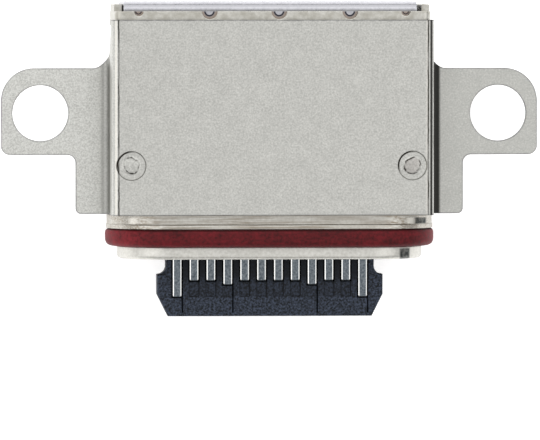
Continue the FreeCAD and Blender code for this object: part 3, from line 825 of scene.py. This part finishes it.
def pressed_relief(u, v):
    """Dimples with sloping walls, each with a rough bead, and a front edge that rolls down.

    The front edge drops along a quarter ellipse: d (sqrt(1 - s^2) - 1), where s grows from 0 to 1
    over the last stretch of the plate.
    """
    share = np.clip((cover_low[1] + FRONT_REACH - v) / FRONT_REACH, 0, 1)
    on_plate = np.abs(u) < cover_marks[1] + 1e-6
    front = FRONT_DROP * (np.sqrt(1 - 0.98 * share ** 2) - 1) * on_plate
    distance = np.min([np.hypot(u - across, v - along) for across, along in DIMPLES], axis=0)
    wall = np.clip((DIMPLE_RADIUS - distance) / DIMPLE_WALL, 0, 1)
    bead = np.clip(1 - (distance / WELD_RADIUS) ** 2, 0, 1)
    ripple = 0.25 * np.sin(9 * u / WELD_RADIUS) * np.cos(7 * v / WELD_RADIUS)
    return front - DIMPLE_DEPTH * wall + WELD_HEIGHT * np.sqrt(bead) * (1 + ripple)


def make_cover():
    """Bend the blank with its two holes, and refine it where the relief needs points."""
    outline, top_lines, foot_lines = cover_outline()
    hole = cover_marks[4] + HOLE_PLACE - COVER_SIDE - FOOT_BEND
    openings = [ring((side * hole, 0), HOLE_RADIUS, 96) for side in (1, -1)]
    creases = [side * line for line in (*top_lines, *foot_lines) for side in (1, -1)]
    spots = [ring(dimple, radius, 48) for radius in DIMPLE_RINGS for dimple in DIMPLES]
    plate, ear = cover_marks[1] - BESIDE_BEND, cover_marks[4] + BESIDE_BEND
    front, back = cover_low[1], cover_high[1]
    for share in FRONT_LINES:
        line = front + share * FRONT_REACH
        spots.append(np.linspace((-plate, line), (plate, line), 120))
    for side in (1, -1):
        spots.append(np.linspace((side * ear, front + 0.05), (side * ear, EAR_BACK - 0.05), 40))
        spots += [np.linspace((side * line, front + 0.1), (side * line, back - 0.1), 56)
                  for line in (plate, *top_lines)]
    solid = stamped(outline, SHEET, COVER_ROLL, bend_cover, openings, creases,
                    np.vstack(spots), relief=pressed_relief)
    make_piece("stamped_cover", solid, cover_steel, ["bracket_cover"])


make_cover()

# %% [markdown]
# ## The moulded shell
#
# The shell is one tube with a wall. Its outside runs forward from the box through the oval neck,
# the flange, the seat of the seal and the lip, turns round the edge of the opening, and comes
# back inside to the wide chamber behind. A block hollowed by booleans would need many cuts and
# leave poor triangles at the oval ends. As one loft, whose last station meets its first, the shell
# is a clean grid. Its back edge is not straight: half-round notches, two side tabs and a slot below
# for the contact tails move it, and a formula of the place across says by how much. The last
# stretch is a hair wider, and shows as a thin frame beside the end of the cover.

# %% [markdown]
# ### Marks on the shell
#
# The neck between cover and flange sits back, so it is darker than the box and the lip: a tan cast
# with painted shade, drawn out into fine streaks. A painted dark reflection sits at the right of
# the neck and of the lip, and two painted highlights sit where the neck turns. Four more pieces of
# mesh could carry them. A list of places, each with a colour and a share, is shorter, and one line
# of code lays them all.

# %% Marks on the shell
NOTCHES = [(-1.86, 0.23), (0.19, 0.23), (2.28, 0.23), (-3.945, 0.14), (3.925, 0.14)]
NECK_BAND = (-3.41, -3.38, -2.99, -2.96)
NECK_PATCH = (-3.26, -3.23, -3.09, -3.05)
LIP_PATCH = (-4.31, -4.28, -4.00, -3.95)
TAN_AND_SHADE = (0.235, 0.19, 0.14)
BACK_STRIP = (0.40, 0.385, 0.34)
DARK_REFLECTION = (0.03, 0.035, 0.035)
NECK_HIGHLIGHT = (0.90, 0.87, 0.80)
# Painted reflections: dark where the neck and lip turn to the right, highlights where the neck
# turns.
SHELL_REFLECTIONS = [
    ((4.21, 4.27, 4.56, 4.62), NECK_PATCH, DARK_REFLECTION, 1.0),
    ((3.93, 4.03, 4.16, 4.22), NECK_PATCH, NECK_HIGHLIGHT, 0.8),
    ((-4.26, -4.16, -4.06, -3.95), NECK_PATCH, NECK_HIGHLIGHT, 0.55),
    ((3.74, 3.80, 4.05, 4.11), LIP_PATCH, DARK_REFLECTION, 0.95),
]


def lay_shell_marks(place, tone):
    """Tan streaks with painted shade on the neck, a cloudy strip at the back, and the painted
    reflections and highlights of the list.
    """
    across, along, _ = axes(place)
    cloud = spread(grain(place, 0.35, stretch=(4, 1, 1)), 0.3, 1)
    streak = spread(grain(place, 0.035, 2.0, stretch=(40, 1, 1)), 0.2, 1, 0.38, 0.62)
    # The neck gets a tan cast with painted shade, drawn out into fine streaks.
    tone = blend(band(along, NECK_BAND) * cloud * streak, tone, TAN_AND_SHADE)
    strip = spread(along, 0, 1, 2.5, 2.6) * spread(grain(place, 0.22), 0.3, 0.9, 0.38, 0.62)
    tone = blend(strip, tone, BACK_STRIP)
    patchy = spread(grain(place, 0.12), 0.75, 1, 0.35, 0.60)
    for side, run, colour, share in SHELL_REFLECTIONS:
        tone = blend(band(across, side) * band(along, run) * patchy * share, tone, colour)
    return tone


shell_metal = metal("shell_metal", (0.52, 0.51, 0.47), (0.66, 0.65, 0.61), 0.08,
                    (0.34, 0.44), 0.003, lay_shell_marks)
print("notches in the back edge:", len(NOTCHES))

# %% Loft the shell
BOX = (4.6, 1.71)
BACK_FRAME = (4.65, 1.71)
BOX_CORNER = 0.2
BOX_BACK = 3.02
BOX_FRONT = -3.0
BOX_MIDDLE = 1.5
FRAME_FRONT = 2.6
FRAME_STEP = 0.1
CHAMBER = (4.42, 1.53)
CHAMBER_FRONT = -1.4
CHAMBER_CORNER = 0.02
NECK = (OPENING[0] + 0.655, OPENING[1] + 0.3)
LIP = (OPENING[0] + 0.35, OPENING[1] + 0.3)
FLANGE = (shell_high[0], NECK[1] + 0.27)
SEAT = (OPENING[0] + 0.15, OPENING[1] + 0.15)
FLANGE_BACK = -3.265
SEAL_BACK = seal_high[1]
SEAL_FRONT = seal_low[1]
LIP_FRONT = shell_low[1]
RIM_START = -0.5
TAB_REACH = 0.2
TAB_HEIGHT = 1.2
SLOT_HALF = 3.6
SLOT_FRONT = 0.3
FACE_BAND = 0.05
EDGE_ROUND = 0.03
BOX_ROUND = 0.05
NECK_ROUND = 0.04
SEAT_ROUND = 0.02
LIP_ROUND = 0.14
OPENING_ROUND = 0.07


def even_shares(count, reach=0.98):
    """Evenly spaced shares of a side of the section, which stop just short of its corners."""
    return np.linspace(-reach, reach, count)


def oval_station(size, place, radius):
    """A station whose corner radius is half of its height, so its ends are half circles."""
    return (size[0], size[1], size[1] - 0.001, place, radius)


def back_edge(across, up, height):
    """How far back the shell goes: notched above, slotted below and tabbed at its sides."""
    edge = np.full_like(across, BOX_BACK)
    above = up > height - FACE_BAND
    for middle, radius in NOTCHES:
        depth = np.sqrt(np.clip(radius ** 2 - (across - middle) ** 2, 0, None))
        edge = np.where(above, np.minimum(edge, BOX_BACK - depth), edge)
    below = up < -(height - FACE_BAND)
    edge = np.where(below & (np.abs(across) < SLOT_HALF), SLOT_FRONT, edge)
    beside = (np.abs(up) < TAB_HEIGHT) & (np.abs(across) > CHAMBER[0] - FACE_BAND)
    return np.where(beside, BOX_BACK + TAB_REACH, edge)


def make_shell():
    """Loft the tube, then move its back edge: places behind RIM_START stretch in proportion."""
    run = BACK_FRAME[0] - BOX_CORNER
    turn = np.linspace(-90, 90, 19)
    cuts = [(middle + radius * np.sin(np.radians(turn))) / run for middle, radius in NOTCHES]
    hair = 1e-3
    top = np.unique(np.concatenate([even_shares(41), *cuts]))
    slot = SLOT_HALF / run
    foot = np.unique(np.concatenate([even_shares(15), [-slot - hair, -slot + hair],
                                     [slot - hair, slot + hair]]))
    tab = TAB_HEIGHT / (BOX[1] - BOX_CORNER)
    side = np.array([-tab - 2 * hair, -tab + 2 * hair, 0, tab - 2 * hair, tab + 2 * hair])
    around = section(top, foot, side)
    box = (*BOX, BOX_CORNER)
    frame_box = (*BACK_FRAME, BOX_CORNER)
    chamber = (*CHAMBER, CHAMBER_CORNER)
    stations = soften([
        (*frame_box, BOX_BACK, EDGE_ROUND),
        (*frame_box, FRAME_FRONT, 0),
        (*box, FRAME_FRONT - FRAME_STEP, 0),
        (*box, BOX_MIDDLE, 0),
        (*box, RIM_START, 0),
        (*box, BOX_FRONT, BOX_ROUND),
        oval_station(NECK, BOX_FRONT, NECK_ROUND),
        oval_station(NECK, FLANGE_BACK, EDGE_ROUND),
        oval_station(FLANGE, FLANGE_BACK, EDGE_ROUND),
        oval_station(FLANGE, SEAL_BACK, EDGE_ROUND),
        oval_station(SEAT, SEAL_BACK, SEAT_ROUND),
        oval_station(SEAT, SEAL_FRONT, SEAT_ROUND),
        oval_station(LIP, SEAL_FRONT, EDGE_ROUND),
        oval_station(LIP, LIP_FRONT, LIP_ROUND),
        oval_station(OPENING, LIP_FRONT, OPENING_ROUND),
        oval_station(OPENING, CHAMBER_FRONT, 0),
        (*chamber, CHAMBER_FRONT, 0),
        (*chamber, RIM_START, 0),
        (*chamber, BOX_MIDDLE, 0),
        (*chamber, FRAME_FRONT, 0),
        (*chamber, BOX_BACK, EDGE_ROUND),
    ])
    points = loft(around, stations)
    sample = loft(around, np.array([[*frame_box, BOX_BACK]]))[0]
    rim = back_edge(sample[:, 0], sample[:, 2], BOX[1])
    place = points[..., 1]
    moved = RIM_START + (place - RIM_START) * (rim - RIM_START) / (BOX_BACK - RIM_START)
    points[..., 1] = np.where(place > RIM_START, moved, place)
    make_piece("moulded_shell", closed_tube(points), shell_metal, ["front_shell"])


make_shell()

# %% [markdown]
# ## The seal
#
# The silicone ring is moulded with a generous round on its front edge, which slides into the
# phone, and a smaller one at the back. A squeezed torus would come close, but its section can't
# have two different rounds. So a section of its own is carried round the oval as before.

# %% Silicone with painted light on its ends
SEAL_LEFT_END = (-4.3, -3.6)
SEAL_RIGHT_END = (4.35, 4.75)
SEAL_BACK_SHADE = (-3.46, -3.43)


def lay_seal_marks(place, tone, speck):
    """Painted light that makes both ends a brighter red, and painted shade on the back edge."""
    across, along, _ = axes(place)
    # Painted light: the ends, turned to the side, are a brighter red, more on the left.
    ends = most(spread(across, 0.5, 0, *SEAL_LEFT_END), spread(across, 0, 0.5, *SEAL_RIGHT_END))
    tone = blend(ends * spread(speck, 0.3, 1, 0.36, 0.64), tone, (0.30, 0.030, 0.040))
    # Painted shade along the back edge, against the flange.
    return blend(spread(along, 0, 0.7, *SEAL_BACK_SHADE), tone, (0.01, 0.0, 0.0))


seal_silicone = silicone("seal_silicone", (0.050, 0.009, 0.010), (0.135, 0.013, 0.017),
                         lay_seal_marks)
print("nodes in the silicone:", len(seal_silicone.node_tree.nodes))

# %% Loft the seal
SEAL_BACK_ROUND = 0.16
SEAL_FRONT_ROUND = 0.26


def make_seal():
    """Carry the section of the seal, with a large round in front, round the oval."""
    size = (seal_high[0], seal_high[2])
    around = section(even_shares(25), even_shares(25), [], 24)
    stations = soften([
        oval_station(SEAT, SEAL_BACK, SEAT_ROUND),
        oval_station(size, SEAL_BACK, SEAL_BACK_ROUND),
        oval_station(size, SEAL_FRONT, SEAL_FRONT_ROUND),
        oval_station(SEAT, SEAL_FRONT, SEAT_ROUND),
    ], 10)
    make_piece("silicone_seal", closed_tube(loft(around, stations)), seal_silicone,
               ["seal_ring"])


make_seal()

# %% [markdown]
# ## The sheet at the back
#
# A second, thinner looking sheet closes the socket from below and behind. Two boxes would do for
# its bottom and its back, but from above only the bright bend between them shows, so the bend has
# to be true. Its blank is a plain strip with two windows for the contact tails. It turns up at the
# back, and its end folds forward and tucks in under the top of the shell. The notches of the shell
# lay it bare, and there it has the brown half rings of five spot welds.

# %% Weld marks and painted light on the back sheet
NOTCH_PLACE = 3.02
LARGE_NOTCH = 0.2
BURNT_RING = (1.3, 1.4)
WELD_EDGE = (0.42, 0.52, 0.62, 0.74)
BEND_REFLECTION_BAND = (3.12, 3.15, 3.21, 3.25)
GAP_SHADE_BAND = (3.01, 3.03, 3.05, 3.075)


def lay_back_marks(place, tone):
    """Brown burnt half rings with a dark line inside, where the notches lay the sheet bare, over a
    painted dark reflection on the bend and painted shade in the gap under the shell.
    """
    across, along, up = axes(place)
    bare = spread(along, 1, 0, 3.0, 3.03) * spread(up, 0, 1, 1.4, 1.45)
    burns, edges = [], []
    for middle, radius in NOTCHES:
        share = from_middle(across - middle, along - NOTCH_PLACE) / radius
        inner = 0.6 if radius > LARGE_NOTCH else -0.2
        burns.append(spread(share, 1, 0, *BURNT_RING) * spread(share, 0, 1, inner, inner + 0.15))
        edges.append(band(share, WELD_EDGE))
    # Painted dark reflection across the bend, and painted shade in the gap under the shell's back
    # edge.
    tone = blend(band(along, BEND_REFLECTION_BAND) * 0.6, tone, (0.34, 0.34, 0.36))
    tone = blend(band(along, GAP_SHADE_BAND) * 0.6, tone, (0.20, 0.20, 0.20))
    tone = blend(most(*burns) * bare, tone, (0.36, 0.30, 0.26))
    return blend(most(*edges) * bare, tone, (0.02, 0.02, 0.03))


bright_sheet = metal("bright_sheet", (0.46, 0.46, 0.49), (0.56, 0.56, 0.59), 0.1,
                     (0.26, 0.34), 0.001, lay_back_marks)
print("weld marks at", [middle for middle, _ in NOTCHES])

# %% Bend the back sheet
BACK_RIGHT = -back_high[0]
BACK_LEFT = -back_low[0]
BACK_BEND = 0.1
TUCKED = 0.75
BACK_TOP = CHAMBER[1]
TAIL_WINDOW = 3.3
BACK_ROLL = 0.03
WINDOWS = [(0.81, 1.15), (2.36, 2.70)]
FEET = [(x, y) for x in (3.95, -3.95) for y in (-2.2, 2.55)]
FOOT_SIZE = (0.3, 0.25)
FOOT_SINK = 0.03
FOOT_EDGE = 0.04
SHEET_CORNER = 0.12
WINDOW_CORNER = 0.06
PLATE_FOOT = -(BOX[1] + SHEET)

back_reach = back_high[1] - BACK_BEND - SHEET
back_path, back_marks = bent_path((back_low[1], PLATE_FOOT + SHEET / 2), 0, [
    (back_reach - back_low[1], 0),
    (quarter(BACK_BEND), 90),
    (BACK_TOP - PLATE_FOOT - 2 * (BACK_BEND + SHEET), 0),
    (quarter(BACK_BEND), 90),
    (TUCKED - BACK_BEND - SHEET, 0),
])


def bend_back(u, v, height):
    """Carry a blank point: the path gives y and z for the length u, and v runs across."""
    spot = back_path(u, height)
    return np.stack([-v, spot[:, 0], spot[:, 1]], axis=-1)


def make_back_sheet():
    """Bend the strip with its two windows, and set four square feet under it."""
    bends = [np.linspace(back_marks[first], back_marks[first + 1], BEND_STEPS + 1)
             for first in (1, 3)]
    lines = np.concatenate(bends)
    end = back_marks[-1]
    corner = SHEET_CORNER
    outline = np.vstack([
        arc((corner, BACK_RIGHT + corner), corner, 180, 270),
        fold_points(lines, BACK_RIGHT),
        arc((end - corner, BACK_RIGHT + corner), corner, -90, 0),
        arc((end - corner, BACK_LEFT - corner), corner, 0, 90),
        fold_points(lines[::-1], BACK_LEFT),
        arc((corner, BACK_LEFT - corner), corner, 90, 180),
    ])
    windows = [box_outline(near - back_low[1], far - back_low[1], -TAIL_WINDOW, TAIL_WINDOW,
                           WINDOW_CORNER)
               for near, far in WINDOWS]
    sheet = stamped(outline, SHEET, BACK_ROLL, bend_back, windows, lines)
    feet = [rounded_box((x - FOOT_SIZE[0], y - FOOT_SIZE[1], FLOOR_LEVEL),
                        (x + FOOT_SIZE[0], y + FOOT_SIZE[1], PLATE_FOOT + FOOT_SINK), FOOT_EDGE)
            for x, y in FEET]
    make_piece("back_sheet", joined(sheet, *feet), bright_sheet, ["rear_cover"])


make_back_sheet()

# %% [markdown]
# ## The tongue
#
# The tongue is a flat moulding with a tapered tip and a hollow on each side where the plug's
# latches snap in. Every contact lies in a slot a hair wider than itself, which is why the photo
# shows a black line round each. Short contacts stop at a shallow square recess, and beside the
# longest ones the slot runs on as a thin groove. Cutting them one by one with booleans would be
# slow and fragile, so all are loops in one blank, and within each the floor is let down behind a
# straight wall, on both faces.

# %% Sizes of the tongue
PITCH = 0.5
CONTACTS = range(1, 13)
CONTACT_WIDTH = 0.28
CONTACT_THICK = 0.12
CONTACT_PROUD = 0.02
TONGUE_TIP = tongue_low[1]
TONGUE_SIDE = 3.345
TONGUE_THICK = 0.7
TONGUE_EDGE = 0.05
TIP_INSET = 0.325
TIP_TAPER = 0.65
LATCH_PLACE = TONGUE_TIP + 1.24
LATCH_SIDE = TONGUE_SIDE - 0.262
LATCH_RADIUS = 0.25
TONGUE_ROOT = -1.5
ROOT_FRONT = -2.46
ROOT_HALF = 0.7
PLUG_FLOOR = (-1.56, -1.4)
PLUG_GAP = 0.02
BASE_BACK = -0.2
BASE_HALF = (4.4, 1.53)
SLOT_GAP = 0.032
SLOT_BACK = -1.75
SLOT_DEPTH = TONGUE_THICK / 2 + CONTACT_PROUD - CONTACT_THICK
RECESS_END = TONGUE_TIP + 0.59
RECESS_DEPTH = 0.03
GROOVE_END = TONGUE_TIP + 0.1
DENT_WALL = 0.006


def contact_place(number):
    """Where the middle of a contact lies across the tongue."""
    return (number - 6.5) * PITCH


def contact_front(number):
    """Front end of a contact: ground at the ends, power fourth from each end, then the rest."""
    from_end = np.minimum(number, 13 - number)
    return TONGUE_TIP + np.select([from_end == 1, from_end == 4], [0.57, 0.93], 1.05)


print("contacts lie at", [contact_place(number) for number in CONTACTS])

# %% Black moulding with painted shade in its slots
ROWS_SIDE = 5.5 * PITCH + 0.17
RECESS_FOOT_SHADE = [RECESS_END + gap for gap in (-0.018, -0.010, 0.005, 0.015)]
RIGHT_GAP_SHADE = (0.132, 0.139, 0.158, 0.165)
LEFT_GAP_SHADE = (-0.165, -0.158, -0.147, -0.140)


def from_contact(across):
    """Place across, counted from the nearest contact: p (fract(x / p) - 1/2) with the pitch p."""
    return maths("FRACT", across / PITCH) * PITCH - PITCH / 2


def lay_tongue_marks(place, tone):
    """A darker skin between the contacts, and painted shade in the gaps beside the contacts and at
    the end of each shallow recess.
    """
    across, along, _ = axes(place)
    rows = band(across, (-ROWS_SIDE - 0.02, -ROWS_SIDE, ROWS_SIDE, ROWS_SIDE + 0.02))
    rows = rows * spread(along, 0, 1, RECESS_END - 0.02, RECESS_END + 0.02)
    tone = blend(rows * spread(along, 0.35, 0.85, -5.02, -4.80), tone, (0.001, 0.002, 0.004))
    # Painted shade in the slot gaps, stronger on the right of each contact, and at the end of each
    # recess.
    offset = from_contact(across)
    sides = rows * (band(offset, RIGHT_GAP_SHADE) + band(offset, LEFT_GAP_SHADE) * 0.6)
    foot = band(along, RECESS_FOOT_SHADE) * band(offset, (-0.16, -0.15, 0.15, 0.16))
    foot = foot * spread(abs(across), 0.7, 0, 2.5, 2.6)
    return blend(most(sides, foot), tone, (0.0, 0.0, 0.001))


black_moulding = moulding("black_moulding", (0.001, 0.002, 0.003), (0.050, 0.064, 0.097),
                          lay_tongue_marks)
print("nodes in the moulding:", len(black_moulding.node_tree.nodes))

# %% Mould the tongue


def tongue_dents():
    """Slots, recesses and grooves of one face, as loops with a depth and a wall."""
    dents = []
    side = CONTACT_WIDTH / 2
    for number in CONTACTS:
        x, front = contact_place(number), contact_front(number) - SLOT_GAP
        left, right = x - side - SLOT_GAP, x + side + SLOT_GAP
        if number in (1, 4, 9, 12):
            slot = np.array([(left, front), (right - SLOT_GAP * 1.4, front),
                             (right - SLOT_GAP * 1.4, GROOVE_END), (right, GROOVE_END),
                             (right, SLOT_BACK), (left, SLOT_BACK)])
        else:
            slot = box_outline(left, right, front, SLOT_BACK)
            recess = box_outline(x - side, x + side, RECESS_END, front - 2 * DENT_WALL)
            dents.append((recess, RECESS_DEPTH, DENT_WALL))
        dents.append((slot, SLOT_DEPTH, DENT_WALL))
    return dents


def make_tongue():
    """The blade with its dents, the thick root, the floor of the opening and the base."""
    corner = arc((LATCH_SIDE + LATCH_RADIUS, LATCH_PLACE + LATCH_RADIUS), LATCH_RADIUS, 180, 270)
    right = np.vstack([
        [(TONGUE_SIDE - TIP_INSET, TONGUE_TIP), (TONGUE_SIDE, TONGUE_TIP + TIP_TAPER),
         (TONGUE_SIDE, LATCH_PLACE)],
        corner[::-1],
        [(LATCH_SIDE, TONGUE_ROOT)],
    ])
    outline = np.vstack([right, right[::-1] * (-1, 1)])

    def flat(u, v, height):
        """The tongue isn't bent, so a blank point only gets its height."""
        return np.stack([u, v, height], axis=-1)

    blade = stamped(outline, TONGUE_THICK, TONGUE_EDGE, flat, dents=tongue_dents())
    root = rounded_box((-TONGUE_SIDE, ROOT_FRONT, -ROOT_HALF),
                       (TONGUE_SIDE, TONGUE_ROOT, ROOT_HALF), TONGUE_EDGE)
    around = section(even_shares(5, 0.9), even_shares(5, 0.9), [], 12)
    plug = np.array(OPENING) - PLUG_GAP
    tiny = (0.01, 0.005, 0.004)
    front, back = PLUG_FLOOR
    floor = capped(loft(around, soften([
        (*tiny, front, 0), oval_station(plug, front, 0.04), oval_station(plug, back, 0),
        (*tiny, back, 0)])))
    base = rounded_box((-BASE_HALF[0], back, -BASE_HALF[1]),
                       (BASE_HALF[0], BASE_BACK, BASE_HALF[1]), 0.03)
    solid = joined(blade, root, floor, base)
    make_piece("black_tongue", solid, black_moulding, ["tongue_body"])


make_tongue()

# %% [markdown]
# ## Twenty-four contacts
#
# Each contact is a strip of plated metal with coined edges: the long edges and the front end are
# pressed round, while the flat between them stays dull and cool. A painted highlight along the long
# edges makes the bright outline round each contact. One strip could be copied 24 times, but the
# ends of the rows are longer, and the lower row bends elsewhere. So a function makes each from its
# row and number. The roll of the rim gives the shape, and a tone counted from the middle of each
# contact paints the highlight on the long edges and keeps the flat dull. The strip runs back
# through the moulding, drops behind it and ends in a tail on the board.

# %% Plating with painted highlights on its coined edges
EDGE_HIGHLIGHT_BAND = (0.09, 0.105)


def painted_edge_highlight(place, tone):
    """The flat of a contact is dull and cool, and its coined long edges carry a painted highlight.
    """
    aside = abs(from_contact(axes(place)[0]))
    # Painted highlight on the long edges of each contact.
    return blend(spread(aside, 0, 1, *EDGE_HIGHLIGHT_BAND), tone, (0.86, 0.86, 0.84))


plating = metal("contact_plating", (0.07, 0.09, 0.11), (0.28, 0.31, 0.335), 0.06,
                (0.10, 0.20), 0.002, painted_edge_highlight)
print("bright edges from", EDGE_HIGHLIGHT_BAND[0], "mm off the middle")

# %% Bend the contacts
CONTACT_ROLL = 0.045
CONTACT_CORNER = 0.05
CONTACT_BEND = 0.08
TAIL_LENGTH = 0.45
ROW_BENDS = {"a": 2.6, "b": 1.05}


def make_contact(row, number):
    """One strip: along the tongue, down behind the carrier, and back along the board."""
    sign = 1 if row == "a" else -1
    middle = sign * (TONGUE_THICK / 2 + CONTACT_PROUD - CONTACT_THICK / 2)
    front, bend_end = contact_front(number), ROW_BENDS[row]
    radius = CONTACT_BEND + CONTACT_THICK / 2
    arc_length = radius * math.pi / 2
    outer = CONTACT_BEND + CONTACT_THICK
    drop = middle + CONTACT_THICK / 2 - FLOOR_LEVEL - 2 * outer
    place, marks = bent_path((front, middle), 0, [
        (bend_end - outer - front, 0),
        (arc_length, -90),
        (drop, 0),
        (arc_length, 90),
        (TAIL_LENGTH - CONTACT_BEND, 0),
    ])
    lines = np.concatenate([np.linspace(marks[1], marks[2], 6), np.linspace(marks[3], marks[4], 6)])
    half, corner = CONTACT_WIDTH / 2, CONTACT_CORNER
    outline = np.vstack([
        arc((corner, -half + corner), corner, 180, 270, 3),
        fold_points(lines, -half),
        [(marks[-1], -half), (marks[-1], half)],
        fold_points(lines[::-1], half),
        arc((corner, half - corner), corner, 90, 180, 3),
    ])
    x = contact_place(number)

    def bend(u, v, height):
        """Carry a blank point: the path gives y and z for the length u, and v runs across."""
        spot = place(u, height)
        return np.stack([x - v, spot[:, 0], spot[:, 1]], axis=-1)

    solid = stamped(outline, CONTACT_THICK, CONTACT_ROLL, bend, creases=lines)
    node = f"contact_{row}{number:02d}"
    make_piece(f"strip_{row}{number:02d}", solid, plating, [node])


for row in ROW_BENDS:
    for number in CONTACTS:
        make_contact(row, number)

# %% [markdown]
# ## Pieces that stay as they are
#
# The plates in the tongue, the two carriers and the cast resin are plain blocks with square
# edges, and almost all of them is hidden. Their nodes in the frame are already right, so they
# only get a finish.

# %% Dress the inner nodes


def dress(node, material):
    """Give a node of the frame a finish in place of the plain one that it came with."""
    mesh = frame["nodes"][node].data
    mesh.materials.clear()
    mesh.materials.append(material)


plate_steel = metal("plate_steel", (0.50, 0.50, 0.50), (0.62, 0.62, 0.61), 0.06,
                    (0.35, 0.45), 0.002)
cast_resin = moulding("cast_resin", (0.012, 0.012, 0.012), (0.030, 0.030, 0.030))
for node in ("mid_plate", "upper_ground_plate", "lower_ground_plate"):
    dress(node, plate_steel)
for node in ("upper_contact_holder", "lower_contact_holder"):
    dress(node, black_moulding)
dress("rear_potting", cast_resin)
print("materials:", [material.name for material in bpy.data.materials])

# %% [markdown]
# ## Floor, light and camera
#
# The photo is a product shot on white: the floor is as bright as the background, and one large
# softbox hangs over the part from behind and from the left. A lamp could stand there, but the
# world can do the same by direction alone, and throws no hard edge. It is dim at the horizon and
# bright above it, with less light from the front and from the right. Straight above, at the place
# of the camera, it is dimmer again, and that is what the flat metal mirrors. A lens far away keeps
# the top view as flat as in the photo.

# %% Floor
FLOOR_HALF = 0.25
FLOOR_GLOW = 0.5


def make_floor():
    """A square plane under the feet, pale and with a faint light of its own."""
    mesh = bpy.data.meshes.new("floor")
    level = FLOOR_LEVEL * MM
    corners = [(-FLOOR_HALF, -FLOOR_HALF, level), (FLOOR_HALF, -FLOOR_HALF, level),
               (FLOOR_HALF, FLOOR_HALF, level), (-FLOOR_HALF, FLOOR_HALF, level)]
    mesh.from_pydata(corners, [], [(0, 1, 2, 3)])
    floor = bpy.data.objects.new("floor", mesh)
    bpy.context.scene.collection.objects.link(floor)
    material = bpy.data.materials.new("pale_floor")
    material.use_nodes = True
    shader = material.node_tree.nodes["Principled BSDF"]
    for name, value in {"Base Color": (0.94, 0.94, 0.94, 1), "Roughness": 0.8,
                        "Emission Color": (1, 1, 1, 1), "Emission Strength": FLOOR_GLOW,
                        "Specular IOR Level": 0.1}.items():
        shader.inputs[name].default_value = value
    mesh.materials.append(material)


make_floor()
print("floor at", round(FLOOR_LEVEL, 3), "mm")

# %% Light
SOFTBOX_LIGHT = 1.6
FRONT_SHARE = 0.3
RIGHT_LIGHT = 0.8
CAMERA_PLACE_LIGHT = 0.8
HORIZON_LIGHT = 0.7
RIGHT_HORIZON_LIGHT = 0.25


def fade(value, start, end, low, high):
    """A smooth step between two values: low up to start, high from end."""
    return spread(value, low, high, start, end, interpolation_type="SMOOTHSTEP")


def make_world():
    """White light from all round, dimmed by direction as the photo's reflections ask."""
    world = bpy.data.worlds.new("studio")
    world.use_nodes = True
    tree = world.node_tree
    background = tree.nodes["Background"]
    background.inputs["Color"].default_value = (1, 1, 1, 1)
    direction = Value(add_node(tree, "ShaderNodeTexCoord").outputs["Generated"])
    right, back, height = axes(direction)
    horizon = fade(right, 0.35, 0.75, HORIZON_LIGHT, RIGHT_HORIZON_LIGHT)
    softbox = fade(right, 0.6, 0.9, SOFTBOX_LIGHT, RIGHT_LIGHT)
    softbox = softbox * fade(back, -0.70, -0.25, FRONT_SHARE, 1.0)
    light = fade(height, 0.20, 0.42, horizon, softbox)
    light = fade(height, 0.90, 0.985, light, CAMERA_PLACE_LIGHT)
    tree.links.new(light.socket, background.inputs["Strength"])
    bpy.context.scene.world = world


make_world()
bpy.context.scene.view_settings.view_transform = "Standard"
print("the softbox is", SOFTBOX_LIGHT / HORIZON_LIGHT, "times as bright as the horizon")

# %% Camera
PIXELS_PER_MM = 33.8
PICTURE = (540, 440)
PICTURE_CENTRE = (0.0, -3.163)
TARGET_LEVEL = 0.35
CAMERA_DISTANCE = 220.0
CAMERA_TILT = -2.0
CAMERA_TURN = -3.7


def make_camera():
    """A far camera over the picture's centre, whose lens gives the photo's scale."""
    data = bpy.data.cameras.new("camera")
    width = PICTURE[0] / PIXELS_PER_MM
    data.lens = data.sensor_width * CAMERA_DISTANCE / width
    data.clip_start = 0.01
    data.clip_end = 10
    camera = bpy.data.objects.new("camera", data)
    bpy.context.scene.collection.objects.link(camera)
    turn = (Matrix.Rotation(math.radians(CAMERA_TURN), 4, "Y")
            @ Matrix.Rotation(math.radians(CAMERA_TILT), 4, "X"))
    target = Vector((*PICTURE_CENTRE, TARGET_LEVEL)) * MM
    back = turn @ Vector((0, 0, CAMERA_DISTANCE * MM))
    camera.matrix_world = Matrix.Translation(target + back) @ turn
    bpy.context.scene.camera = camera


make_camera()
print("picture", [round(pixels / PIXELS_PER_MM, 2) for pixels in PICTURE], "mm wide and high")
